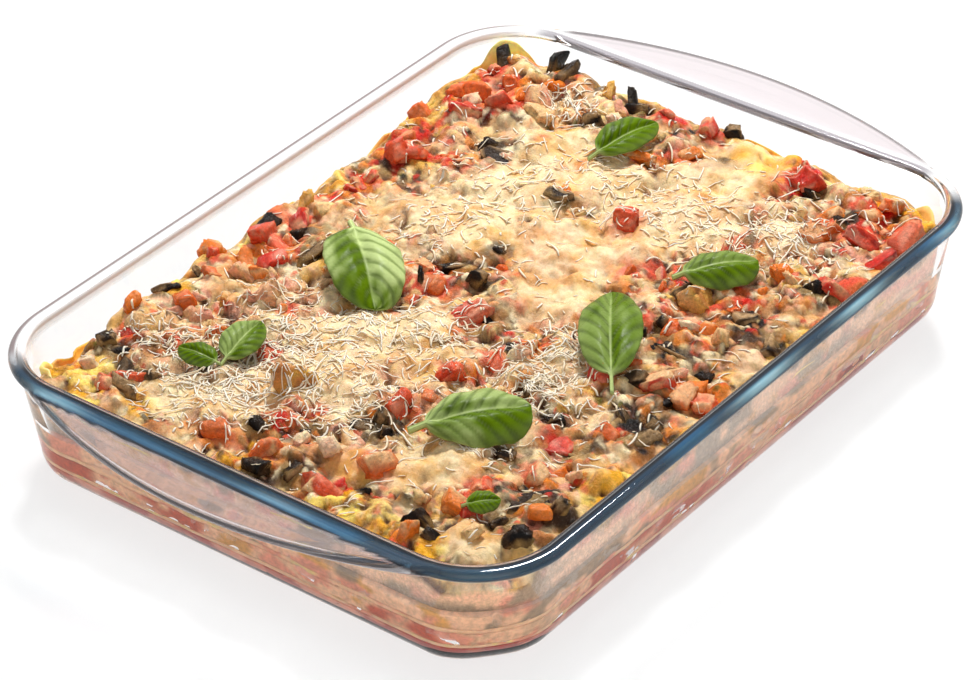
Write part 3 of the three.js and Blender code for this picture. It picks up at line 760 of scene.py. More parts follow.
def anchor_share(x, y):
    """How close a place is to a chunk of the construction, which the crust holds, from 0 to 1."""
    boxes = [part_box(name) for name in sorted(frame["nodes"]) if name.startswith(CHUNK_STEMS)]
    return closeness(x, y, [((low + high) / 2 / MM, ANCHOR_REACH) for low, high in boxes])


def softened(values, reach):
    """A height field blurred over some cells each way."""
    kernel = np.hanning(2 * reach + 3)[1:-1]
    kernel = kernel / kernel.sum()
    for axis in (0, 1):
        values = np.apply_along_axis(lambda line: np.convolve(line, kernel, "same"), axis, values)
    return values


def pool_share(x, y):
    """How much melted cheese covers a place, from 0 to 1."""
    share = np.zeros_like(x)
    for column, row, radius in CHEESE_POOLS:
        spot = photo_spot((column, row), SPOT_HEIGHT)
        reach = np.hypot(x - spot[0], y - spot[1]) / radius
        share = np.maximum(share, 1 - smoothstep(0.45, 1.05, reach))
    ragged = rough_field(x, y, 14, 31, 3)
    return np.clip(share * smoothstep(0.3, 0.55, ragged + 0.25 * share), 0, 1)


def drift_share(x, y):
    """How much grated cheese lies at a place, from 0 to 1."""
    return closeness(x, y, [(photo_spot(drift[:2], SPOT_HEIGHT), 0.8 * drift[2]) for drift in SHRED_CLUSTERS])


# Colours of lumps and crumbs away from the marked places, then how often each comes up
CHEESY_COLOURS = [
    CREAM, BUTTER, PALE_CREAM, PINK, TAN_PALE, TAN, ORANGE, HERB, TOMATO_LIGHT, AUBERGINE_DARK,
]
CHEESY_WEIGHTS = np.array([16, 12, 16, 16, 10, 6, 6, 2, 9, 6])
CRUMB_COLOURS = [
    PALE_CREAM, CREAM, PINK, TOMATO_LIGHT, TOMATO_RED, AUBERGINE_DARK, AUBERGINE_SKIN, ORANGE, TAN, HERB,
]
CRUMB_WEIGHTS = np.array([22, 10, 10, 11, 10, 10, 6, 9, 7, 4])
CRUMB_COUNT = 5200
KIND_COLOURS = {
    "tomato": [TOMATO_RED, TOMATO_LIGHT, TOMATO_RED, ORANGE],
    "orange": [ORANGE, BUTTER, TOMATO_LIGHT],
    "aubergine": [AUBERGINE_SKIN, AUBERGINE_DARK, AUBERGINE_FLESH],
    "pale": [TAN_PALE, CREAM, PINK],
    "yellow": [PASTA_YELLOW, PASTA_YELLOW, PASTA_PALE],
}
KIND_REACH = 9
MARK_REACH = 8
LUMP_PITCH = 5.4
LUMP_MARGIN = 3
CRUMB_MARGIN = 1
GRID_STEP = 0.92
GRID_MARGIN = 9
MARKED_PIXELS = {
    "tomato": TOMATO_PIXELS,
    "orange": ORANGE_PIXELS,
    "aubergine": AUBERGINE_PIXELS,
    "pale": PALE_PIXELS,
    "yellow": YELLOW_PIXELS,
}


def marked_spots(kind):
    """Plan places of what the photo shows of a kind."""
    return [photo_spot(pixel, SPOT_HEIGHT) for pixel in MARKED_PIXELS[kind]]


def marked_share(x, y, kinds):
    """How close a place is to a marked place of some kinds, from 0 to 1."""
    return closeness(x, y, [(spot, MARK_REACH) for kind in kinds for spot in marked_spots(kind)])


def weighted_choice(generator, choices, weights):
    return choices[generator.choice(len(choices), p=weights / weights.sum())]


def grid_window(xs, ys, x, y, reach):
    """The part of a grid that lies within a reach of a place."""
    left, right = np.searchsorted(xs, (x - reach, x + reach))
    low, high = np.searchsorted(ys, (y - reach, y + reach))
    return slice(left, right), slice(low, high)


def lump_list(generator):
    """Random lumps all over the bake: plan x, y, radius, height and colour."""
    marked = [(kind, spot) for kind in MARKED_PIXELS for spot in marked_spots(kind)]
    lumps = []
    for x in np.arange(-CRUST_HALF_LENGTH, CRUST_HALF_LENGTH, LUMP_PITCH):
        for y in np.arange(-CRUST_HALF_WIDTH, CRUST_HALF_WIDTH, LUMP_PITCH):
            spot = np.array([x, y]) + generator.uniform(-0.5, 0.5, 2) * LUMP_PITCH
            radius = generator.uniform(2.6, 7)
            height = generator.uniform(0.8, 1.5 + radius * 0.5)
            apart, kind = min((math.dist(spot, place), kind) for kind, place in marked)
            if apart < KIND_REACH:
                shades = KIND_COLOURS[kind]
                shade = shades[generator.integers(len(shades))]
            else:
                shade = weighted_choice(generator, CHEESY_COLOURS, CHEESY_WEIGHTS)
            lumps.append((*spot, radius, height, shade))
    return lumps


def crust_reach(x, y, out_y, near, anchors):
    """Distance inwards from the crust's edge, which is ragged on the far sides but keeps every chunk."""
    retreat = 4 * smoothstep(0.5, 0.8, rough_field(x, y, 26, 41, 3)) * (1 - near)
    ragged = smoothstep(0.1, 0.6, rough_field(x, y, 34, 43, 2))
    retreat = retreat + FAR_RETREAT * smoothstep(0.6, 0.95, out_y) * ragged
    holds = np.maximum(anchors, marked_share(x, y, ("tomato", "orange", "aubergine")))
    return edge_distance(x, y) + 2 * WET - retreat * (1 - holds)


def lay_lumps(xs, ys, warp_x, warp_y, generator):
    """Heights and colours of the lumps on a grid; the highest lump at a place is the one that shows."""
    rise = np.zeros_like(warp_x)
    tint = np.broadcast_to(BUTTER, (*warp_x.shape, 3)).copy()
    for spot_x, spot_y, radius, height, shade in lump_list(generator):
        window = grid_window(xs, ys, spot_x, spot_y, radius + LUMP_MARGIN)
        turn = generator.uniform(0, math.pi)
        squash = generator.uniform(0.65, 1.5)
        off_x = warp_x[window] - spot_x
        off_y = warp_y[window] - spot_y
        apart_x = off_x * math.cos(turn) + off_y * math.sin(turn)
        apart_y = off_y * math.cos(turn) - off_x * math.sin(turn)
        power = generator.uniform(2, 5)
        reach = (np.abs(apart_x * squash) ** power + np.abs(apart_y / squash) ** power) / radius ** power
        slant = generator.normal(0, 0.25) * apart_x + generator.normal(0, 0.25) * apart_y
        bump = (height + slant) * np.clip(1 - reach, 0, 1) ** 0.4
        higher = bump > rise[window]
        rise[window] = np.where(higher, bump, rise[window])
        cover = smoothstep(0, height * 0.3, bump) * higher
        tint[window] = blend(tint[window], np.broadcast_to(shade, tint[window].shape), cover)
    rise = 0.5 * rise + 0.5 * softened(rise, 3)
    melted_tint = np.stack([softened(tint[..., channel], 2) for channel in range(3)], axis=-1)
    return rise, 0.6 * tint + 0.4 * melted_tint


def strew_crumbs(xs, ys, warp_x, warp_y, rise, tint, crumb_cover, generator):
    """Adds small crumbs to the heights and colours of the crust, fewer where the cover is low."""
    for _ in range(CRUMB_COUNT):
        spot_x = generator.uniform(-CRUST_HALF_LENGTH, CRUST_HALF_LENGTH)
        spot_y = generator.uniform(-CRUST_HALF_WIDTH, CRUST_HALF_WIDTH)
        radius = generator.uniform(1.1, 2.8)
        shade = weighted_choice(generator, CRUMB_COLOURS, CRUMB_WEIGHTS)
        window = grid_window(xs, ys, spot_x, spot_y, radius + CRUMB_MARGIN)
        stretch = generator.uniform(0.6, 1.6)
        apart = np.hypot((warp_x[window] - spot_x) * stretch, (warp_y[window] - spot_y) / stretch)
        mound = np.clip(1 - (apart / radius) ** 2, 0, 1) * crumb_cover[window]
        rise[window] = rise[window] + generator.uniform(0.2, 1.1) * mound
        shades = np.broadcast_to(shade, tint[window].shape)
        tint[window] = blend(tint[window], shades, 0.8 * smoothstep(0.1, 0.5, mound))


def crust_tint(x, y, rise, tint, pools, veil, bare, rough):
    """Colours of the crust: melted and grated cheese over the lumps, toasted spots and painted shade in the
    crevices.
    """
    cheese = blend(MELT, PALE_MELT, smoothstep(0.3, 0.6, rough_field(x, y, 9, 71, 4)))
    cheese = blend(cheese, PINK, 0.25 * smoothstep(0.52, 0.68, rough_field(x, y, 15, 75, 3)))
    cheese = blend(cheese, TOAST, 0.45 * smoothstep(0.6, 0.78, rough_field(x, y, 12, 81, 4)))
    film = np.clip(pools * 0.9 + 0.7 * veil, 0, 1)
    tint = blend(tint, cheese, film * (1 - 0.9 * bare))
    drifts = drift_share(x, y) * smoothstep(0.35, 0.6, rough_field(x, y, 6, 95, 3))
    tint = blend(tint, PALE_CREAM, 0.7 * drifts * (1 - 0.7 * bare))
    speckle = field(x, y, 1.9, 171) + 0.6 * field(x, y, 3.4, 175) - 0.8
    tint = tint * (1 + 0.5 * speckle * rough)[..., None]
    tint = blend(tint, TOAST, 0.5 * smoothstep(0.55, 0.8, field(x, y, 4.2, 181)) * rough)
    # Painted shade: darker brown in the crevices between the lumps, less where cheese fills them.
    painted_crevice_shade = smoothstep(0.1, -1.1, rise - softened(rise, 5))
    tint = blend(tint, CREVICE_SHADE, (0.95 - 0.55 * np.maximum(pools, drifts)) * painted_crevice_shade)
    return np.concatenate([tint, rough[..., None]], axis=-1)


def sheet_faces(kept):
    """Square faces among the kept points of a grid: the numbers of the points in use, then the faces."""
    whole = kept[:-1, :-1] & kept[1:, :-1] & kept[1:, 1:] & kept[:-1, 1:]
    number = np.arange(kept.size).reshape(kept.shape)
    corners = [number[:-1, :-1], number[1:, :-1], number[1:, 1:], number[:-1, 1:]]
    quads = np.stack([corner[whole] for corner in corners], axis=1)
    used, renumbered = np.unique(quads, return_inverse=True)
    return used, renumbered.reshape(quads.shape).tolist()


def make_topping(material, generator):
    """The cheese crust: a fine sheet of lumps, coated with melted cheese in pools."""
    reach_x = CRUST_HALF_LENGTH + GRID_MARGIN
    reach_y = CRUST_HALF_WIDTH + GRID_MARGIN
    xs = np.arange(-reach_x, reach_x, GRID_STEP)
    ys = np.arange(-reach_y, reach_y, GRID_STEP)
    x, y = np.meshgrid(xs, ys, indexing="ij")
    _, out_x, out_y = rim_inset(x, y)
    near = smoothstep(-0.35, 0.1, -out_x * 0.8 - out_y * 0.6)
    anchors = anchor_share(x, y)
    inside = crust_reach(x, y, out_y, near, anchors)
    snap = np.minimum(inside, 0) * (inside > -GRID_STEP)
    x = x + out_x * snap
    y = y + out_y * snap

    pools = pool_share(x, y)
    warp_x = x + 4 * (rough_field(x, y, 9, 151, 2) - 0.5)
    warp_y = y + 4 * (rough_field(x, y, 9, 161, 2) - 0.5)
    rise, tint = lay_lumps(xs, ys, warp_x, warp_y, generator)
    bare = marked_share(x, y, ("tomato", "orange", "aubergine", "yellow"))
    crumb_cover = (1 - 0.6 * pools) * (1 - 0.8 * bare)
    strew_crumbs(xs, ys, warp_x, warp_y, rise, tint, crumb_cover, generator)

    veil = smoothstep(0.46, 0.58, rough_field(x, y, 11, 91, 3)) * (1 - 0.8 * bare)
    rise = rise + 0.8 * veil * np.maximum(softened(rise, 5) - rise, 0)
    grain = rough_field(x, y, 5, 51, 3)
    melted = 1.2 + 2.4 * rough_field(x, y, 18, 61, 3) + 1.6 * rough_field(x, y, 4, 65, 2)
    rough = 1 - np.maximum(0.55 * pools, 0.4 * veil)
    rise = rise * (1 - pools) + (0.45 * rise + melted) * pools + 1.8 * (grain - 0.5) * rough - 1.3
    rise = rise + 0.9 * (field(x, y, 2.2, 185) - 0.5) * rough
    tint = crust_tint(x, y, rise, tint, pools, veil, bare, rough)

    from_glass = edge_distance(x, y)
    z = crust_level(x, y) + rise + ANCHOR_RISE * anchors * (1 - smoothstep(8, 20, from_glass))
    z = CRUST_BOTTOM + 4 + (z - CRUST_BOTTOM - 4) * smoothstep(-4, 3, inside)
    z = z + CLING * near * (1 - smoothstep(0, 8, from_glass))
    used, faces = sheet_faces(inside > -GRID_STEP)
    points = np.column_stack([x.ravel(), y.ravel(), z.ravel()])[used]
    tints = tint.reshape(-1, 4)[used]
    piece = make_piece("melted_cheese", points, faces, material, tints, ("cheese_topping",))
    close_below(piece, CRUST_BOTTOM)


def close_below(piece, z):
    """Closes an open sheet with a mottled side down to a level underside."""
    work = bmesh.new()
    work.from_mesh(piece.data)
    paint = work.verts.layers.float_color["tint"]
    for share in (0.75, 0.67, 0.5, 0):
        extruded = bmesh.ops.extrude_edge_only(work, edges=boundary(work))["geom"]
        ring = [part for part in extruded if isinstance(part, bmesh.types.BMVert)]
        spots = np.array([vert.co for vert in ring]) / MM
        levels = z + (spots[:, 2] - z) * share
        walk = np.arctan2(spots[:, 1] / RIM_HALF_WIDTH, spots[:, 0] / RIM_HALF_LENGTH) * RIM_HALF_LENGTH
        tints = side_tint(UPPER_COLOURS, walk, levels, 701)
        inset, out_x, out_y = rim_inset(spots[:, 0], spots[:, 1])
        short = np.maximum(cavity_inset(wall_lean(out_x, out_y), levels) - WET - inset, 0)
        places = np.column_stack([spots[:, 0] - out_x * short, spots[:, 1] - out_y * short, levels])
        for vert, place, tint in zip(ring, places, tints):
            vert.co = place * MM
            vert[paint] = (*tint, 1)
    bmesh.ops.holes_fill(work, edges=boundary(work))
    bmesh.ops.recalc_face_normals(work, faces=work.faces[:])
    fix_order(work)
    work.to_mesh(piece.data)
    work.free()
    piece.data.shade_smooth()


# Chunks

# Squareness, roughness and tilt of a chunk by its kind; a smaller squareness is squarer
CHUNK_FORMS = {
    "tomato": (0.5, 0.18, 0.6),
    "orange": (0.5, 0.18, 0.6),
    "aubergine": (0.55, 0.22, 0.5),
    "pale": (0.58, 0.28, 0.7),
}
# Least distance of a die from others, if the photo shows it and if it is placed at random
MARKED_CLEARANCE = 3.8
RANDOM_CLEARANCE = 6
MARKED_SPAN = (7, 12.5)
RANDOM_SPAN = (5, 9.5)
DICE_EDGE = 5


def ball_template(subdivisions):
    """Points and faces of a unit ball."""
    work = bmesh.new()
    bmesh.ops.create_icosphere(work, subdivisions=subdivisions, radius=1)
    points = np.array([vert.co[:] for vert in work.verts])
    faces = np.array([[vert.index for vert in face.verts] for face in work.faces])
    work.free()
    return points, faces


FINE_BALL = ball_template(4)
BALL = ball_template(3)


def turn_matrix(generator, tilt):
    heading = generator.uniform(0, 2 * math.pi)
    lean = generator.normal(0, tilt)
    roll = generator.normal(0, tilt)
    turn = Matrix.Rotation(heading, 3, "Z") @ Matrix.Rotation(lean, 3, "Y") @ Matrix.Rotation(roll, 3, "X")
    return np.array(turn)


def ripples(points, generator, count, fineness):
    """Smooth random swelling over a unit shape, about -1 to 1."""
    total = np.zeros(len(points))
    for _ in range(count):
        direction = generator.normal(size=3) * fineness
        total += np.sin(points @ direction + generator.uniform(0, 2 * math.pi))
    return total / math.sqrt(count)


def chunk_shape(template, size, squareness, roughness, tilt, generator):
    """A soft-edged block of food about the origin: its points, and those of the ball it comes from."""
    unit = template[0]
    block = np.sign(unit) * np.abs(unit) ** squareness
    swell = 1 + roughness * ripples(unit, generator, 5, 1.8)
    swell = swell + 0.55 * roughness * ripples(unit, generator, 6, 7)
    skew = np.eye(3) + generator.normal(0, 0.14, (3, 3))
    shaped = (block * swell[:, None] * np.asarray(size) / 2) @ skew
    return shaped @ turn_matrix(generator, tilt).T, unit


def coated(tint, points, unit, amount, generator):
    """A film of melted cheese over the upper side of a chunk."""
    patches = 0.5 + 0.5 * ripples(unit, generator, 4, 2.5)
    upper = smoothstep(-0.2, 0.6, points[:, 2] / np.abs(points[:, 2]).max())
    film = blend(CREAM, PINK, np.full(len(tint), 0.3))
    return blend(tint, film, amount * upper * smoothstep(0.35, 0.75, patches))


def tomato_tint(unit, generator, warm):
    shade = np.clip(0.5 + 0.5 * ripples(unit, generator, 4, 2), 0, 1)
    base = blend(TOMATO_RED, TOMATO_LIGHT, shade)
    base = blend(base, TOMATO_DEEP, 0.7 * smoothstep(0.3, 0.9, unit[:, 0]))
    base = blend(base, PINK, 0.6 * smoothstep(0.35, 0.9, ripples(unit, generator, 5, 4.5)))
    return blend(base, ORANGE, np.full(len(unit), warm))


def aubergine_tint(points, unit, generator):
    """Dark skin over one side, which lies uppermost or to a side, and browned flesh over the rest."""
    shade = np.clip(0.5 + 0.6 * ripples(unit, generator, 5, 3), 0, 1)
    flesh = blend(AUBERGINE_DARK, AUBERGINE_FLESH, shade)
    side = np.array([*generator.normal(0, 0.6, 2), 0.8])
    reach = points @ side / np.abs(points @ side).max()
    skin = smoothstep(0.0, 0.15, reach + 0.1 * ripples(unit, generator, 3, 5))
    return blend(flesh, blend(AUBERGINE_SKIN, AUBERGINE_DARK, 0.5 * shade), skin)


def pale_tint(unit, generator):
    shade = np.clip(0.5 + 0.5 * ripples(unit, generator, 4, 2.5), 0, 1)
    choices = [(TAN_PALE, PINK), (TAN_PALE, CREAM), (PINK, PALE_CREAM), (BUTTER, TAN)]
    first, second = choices[generator.integers(len(choices))]
    return blend(first, second, shade)


def chunk_of(kind, size, template, generator, least_coat=0):
    """Points and colours of one chunk of a kind, about the origin."""
    coat = max(least_coat, generator.choice([0, 0.25, 0.7, 0.95], p=[0.3, 0.2, 0.25, 0.25]))
    points, unit = chunk_shape(template, size, *CHUNK_FORMS[kind], generator)
    if kind == "tomato":
        tint = tomato_tint(unit, generator, generator.choice([0, 0.15, 0.45]))
    elif kind == "orange":
        tint = tomato_tint(unit, generator, 0.8)
    elif kind == "aubergine":
        tint = aubergine_tint(points, unit, generator)
        coat = coat * 0.55
    else:
        tint = pale_tint(unit, generator)
    return points, coated(tint, points, unit, coat, generator)


def make_cad_chunks(stem, kind, material, generator):
    """One detailed chunk in the place of each chunk of the construction; gives their plan places."""
    names = sorted(name for name in frame["nodes"] if name.startswith(stem))
    spots = []
    for name in names:
        low, high = (np.array(corner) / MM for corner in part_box(name))
        size = (high - low) * np.array([1.0, 0.9, 1.0])
        points, tint = chunk_of(kind, size, FINE_BALL, generator, 0.5)
        points = points * ((high - low) / np.ptp(points, axis=0)) + (low + high) / 2
        label = name.replace(stem, kind + "_lump")
        make_piece(label, points, FINE_BALL[1].tolist(), material, tint, (name,))
        spots.append((low + high)[:2] / 2)
    return spots


def surface_height(tree, x, y):
    """Height of the topmost surface at a plan place, or None beside it."""
    hit = tree.ray_cast(Vector((x * MM, y * MM, 0.2)), Vector((0, 0, -1)))[0]
    return hit.z / MM if hit else None


def make_group(name, shapes, tints, material):
    """One piece out of many shaped balls."""
    faces = [BALL[1] + place * len(BALL[0]) for place in range(len(shapes))]
    make_piece(name, np.vstack(shapes), np.vstack(faces).tolist(), material, np.vstack(tints))


def make_dice(name, kind, extra, taken, tree, material, generator):
    """Loose dice of a kind: those that the photo shows, then more of them at random."""
    spots = marked_spots(kind)
    marked_count = len(spots)
    for _ in range(extra):
        spots.append(generator.uniform(-1, 1, 2) * (CRUST_HALF_LENGTH + 4, CRUST_HALF_WIDTH + 4))
    shapes, tints = [], []
    for place, spot in enumerate(spots):
        marked = place < marked_count
        clearance = MARKED_CLEARANCE if marked else RANDOM_CLEARANCE
        if any(math.dist(spot, other) < clearance for other in taken):
            continue
        ground = surface_height(tree, *spot)
        if ground is None or edge_distance(*spot) < DICE_EDGE:
            continue
        if not marked and pool_share(spot[:1], spot[1:])[0] > 0.3:
            continue
        span = generator.uniform(*(MARKED_SPAN if marked else RANDOM_SPAN))
        size = span * generator.uniform((0.8, 0.7, 0.6), (1.4, 1.05, 0.9))
        if kind == "aubergine":
            size = span * generator.uniform((0.5, 0.9, 0.5), (0.8, 1.4, 0.8))
        shape, tint = chunk_of(kind, size, BALL, generator)
        raised = 0.2 * (1 - smoothstep(10, 18, edge_distance(*spot)))
        centre = np.array([*spot, ground + size[2] * (generator.uniform(-0.32, 0.02) + raised)])
        shapes.append(clear_of_glass(shape + centre))
        tints.append(tint)
        taken.append(spot)
    make_group(name, shapes, tints, material)


# Strips that stand on end at the far edge: foot pixel, top pixel, height of the top and width in millimetres
UPRIGHT_STRIPS = [((504, 76), (503, 41), 53, 6), ((634, 120), (632, 93), 50, 5)]


def make_strips(material, generator):
    """Two thin strips of aubergine that stand on end."""
    shapes, tints = [], []
    for foot_pixel, top_pixel, height, width in UPRIGHT_STRIPS:
        foot = np.array([*photo_spot(foot_pixel, SPOT_HEIGHT), SPOT_HEIGHT - 2])
        top = np.array([*photo_spot(top_pixel, height), height])
        axis = top - foot
        size = (math.dist(foot, top), width, width * 0.6)
        shape, unit = chunk_shape(BALL, size, 0.5, 0.1, 0, generator)
        turned = np.array(Vector((1, 0, 0)).rotation_difference(Vector(axis)).to_matrix())
        heading = np.linalg.svd(shape, full_matrices=False)[2][0]
        levelled = np.array(Vector(heading).rotation_difference(Vector((1, 0, 0))).to_matrix())
        shape = shape @ levelled.T @ turned.T
        shapes.append(shape + (foot + top) / 2)
        tint = aubergine_tint(shape, unit, generator)
        tints.append(blend(tint, AUBERGINE_SKIN, np.full(len(unit), 0.6)))
    make_group("aubergine_strips", shapes, tints, material)


# Grated cheese

SHRED_COUNT = 3600
SHRED_STEPS = 6
SHRED_EDGE = 8
SHRED_SECTION = ((1, 0), (0, 1), (-1, 0), (0, -1))
# Share of the shreds that lie anywhere, outside the drifts
STRAY_SHARE = 0.2


def shred_faces(start):
    """Faces of one shred of square section, from the number of its first point on."""
    faces = []
    for step in range(SHRED_STEPS):
        low = start + step * 4
        for corner in range(4):
            following = (corner + 1) % 4
            faces.append((low + corner, low + following, low + 4 + following, low + 4 + corner))
    end = start + SHRED_STEPS * 4
    return [*faces, (start + 3, start + 2, start + 1, start), (end, end + 1, end + 2, end + 3)]


def make_shreds(tree, material, generator):
    """Fine curved shreds of hard cheese strewn in drifts."""
    points, faces, tints = [], [], []
    share = np.linspace(-0.5, 0.5, SHRED_STEPS + 1)
    while len(points) < SHRED_COUNT:
        column, row, radius = SHRED_CLUSTERS[generator.integers(len(SHRED_CLUSTERS))]
        centre = photo_spot((column, row), SPOT_HEIGHT) + generator.normal(0, radius * 0.75, 2)
        if generator.random() < STRAY_SHARE:
            centre = generator.uniform(-1, 1, 2) * (CRUST_HALF_LENGTH, CRUST_HALF_WIDTH)
        if edge_distance(*centre) < SHRED_EDGE:
            continue
        length = generator.gamma(4, generator.choice([0.9, 1.7], p=[0.7, 0.3]))
        width = generator.uniform(0.25, 0.55)
        heading = generator.uniform(0, 2 * math.pi)
        bend = generator.normal(0, 1.0)
        arch = generator.uniform(-0.02, 0.06) * length
        angle = heading + bend * share
        forward = np.column_stack([np.cos(angle), np.sin(angle)])
        spine = np.cumsum(forward, axis=0) * length / SHRED_STEPS
        spine = spine - spine.mean(axis=0) + centre
        heights = [surface_height(tree, *spot) for spot in spine]
        if None in heights:
            continue
        heights = np.array(heights)
        top = 0.75 * heights + 0.25 * heights.max() + width * 0.4 + arch * (1 - 4 * share ** 2)
        side = np.column_stack([-np.sin(angle), np.cos(angle)])
        taper = width * (1 - 0.5 * (2 * np.abs(share)) ** 3)
        rings = []
        for corner_side, corner_up in SHRED_SECTION:
            plan = spine + side * (corner_side * taper)[:, None]
            rings.append(np.column_stack([plan, top + corner_up * taper * 0.55]))
        grid = np.stack(rings, axis=1).reshape(-1, 3)
        faces += shred_faces(len(points) * len(grid))
        points.append(grid)
        shade = blend(SHRED, CREAM, generator.uniform(0, 0.5))
        tints.append(np.broadcast_to(shade, grid.shape))
    make_piece("grated_cheese", np.vstack(points), faces, material, np.vstack(tints))


# Basil

LEAF_GREEN = colour("587302")
# The deep colour serves random dark patches and painted crease shade.
LEAF_DEEP_AND_CREASE_SHADE = colour("2f4401")
# The pale colour serves the paler underside and edges, and the painted sheen.
LEAF_PALE_AND_SHEEN = colour("bccd88")
LEAF_VEIN = colour("c6d68e")

# Stem pixel, tip pixel, width in millimetres, height of the stem and of the tip over the crust,
# then in degrees the roll, the fold along the midrib and the tip's turn downwards, then the share of painted
# pale sheen
LEAF_PLACES = {
    "basil_leaf_1": ((588, 160), (657, 127), 19, 1, 3, 14, 12, 4, 0.0),
    "basil_leaf_2": ((350, 228), (376, 306), 34, 4, 1, -8, 8, 14, 0.95),
    "basil_leaf_3": ((672, 281), (758, 265), 25, 1, 2, 6, -6, 8, 0.2),
    "basil_leaf_4": ((612, 396), (611, 296), 27, 1, 2, -6, 10, 4, 0.25),
    "basil_leaf_5": ((408, 436), (531, 412), 34, 1, 2, 8, -4, 5, 0.6),
    "basil_leaf_6": ((221, 367), (261, 329), 17, 1, 4, 10, 10, 4, 0.4),
    "basil_leaf_7": ((222, 366), (179, 352), 13, 1, 3, -10, 6, 4, 0.0),
    "basil_leaf_8": ((461, 507), (501, 503), 12, 1, 2, 10, 6, 4, 0.0),
}
# How full a leaf is towards its stem and towards its tip; a smaller power is fuller
LEAF_FORMS = {
    "basil_leaf_2": (0.4, 0.46),
    "basil_leaf_3": (0.5, 0.5),
    "basil_leaf_4": (0.5, 0.55),
    "basil_leaf_5": (0.62, 0.48),
}
LEAF_FORM = (0.5, 0.6)
LEAF_STEM_SHARE = 0.14
LEAF_REST = 6
LEAF_ROWS = 56
LEAF_COLUMNS = 30
LEAF_VEINS = 6.5


def blade_share(along):
    """Share of the way from the foot of the blade to the tip, 0 along the stem."""
    return np.clip((along - LEAF_STEM_SHARE) / (1 - LEAF_STEM_SHARE), 0, 1)


def leaf_outline(along, base, point):
    """Half width of a leaf over half its full width: a thin stem, an oval blade and a pointed tip."""
    blade = blade_share(along)
    widest = base / (base + point)
    full = widest ** base * (1 - widest) ** point
    oval = blade ** base * (1 - blade) ** point / full
    return np.maximum(oval, 0.055 - 0.03 * along)


def leaf_tint(along, across, between, on_blade, painted_sheen, seed):
    """Green with darker random patches and painted crease shade along the veins, a painted pale sheen in
    streaks, pale veins and a pale stem.
    """
    aside = np.abs(across)
    vein = (1 - smoothstep(0.01, 0.05, aside)) * 0.6 * (1 - 0.6 * blade_share(along))
    lateral = (1 - smoothstep(0.05, 0.28, between)) * 0.2 * on_blade * (1 - aside)
    shade = rough_field(along * 40, across * 20, 9, seed, 3)
    # Painted shade: darker along the sunken veins, where the blade creases; the rest of the dark is random
    # tone.
    tint = blend(LEAF_DEEP_AND_CREASE_SHADE, LEAF_GREEN, smoothstep(0, 0.85, shade + 0.7 * between - 0.35))
    tint = blend(tint, LEAF_PALE_AND_SHEEN, 0.12 * smoothstep(0.5, 1, aside))
    # Painted sheen: a pale highlight on one half and towards the stem, in streaks between the veins.
    sheen_side = shade + 0.16 * np.sign(across) + 0.4 * (0.5 - along)
    streaks = 0.35 + 0.65 * smoothstep(0.2, 0.75, between)
    tint = blend(tint, LEAF_PALE_AND_SHEEN, painted_sheen * smoothstep(0.3, 0.7, sheen_side) * streaks)
    tint = blend(tint, LEAF_VEIN, np.maximum(vein, lateral))
    return blend(tint, LEAF_VEIN, 0.7 * (1 - smoothstep(0.1, 0.2, along)))


def leaf_faces():
    """Faces of the upper side, the lower side and the edge between them."""
    number = np.arange((LEAF_ROWS + 1) * (LEAF_COLUMNS + 1)).reshape(LEAF_ROWS + 1, LEAF_COLUMNS + 1)
    below = number.size
    faces = []
    for row in range(LEAF_ROWS):
        for column in range(LEAF_COLUMNS):
            first, last = number[row, column:column + 2]
            next_first, next_last = number[row + 1, column:column + 2]
            corners = (first, next_first, next_last, last)
            faces.append(corners)
            faces.append(tuple(corner + below for corner in reversed(corners)))
    loop = [*number[0, :-1], *number[:-1, -1], *number[-1, :0:-1], *number[:0:-1, 0]]
    for place, corner in enumerate(loop):
        following = loop[(place + 1) % len(loop)]
        faces.append((corner, following, following + below, corner + below))
    return [tuple(int(corner) for corner in face) for face in faces]


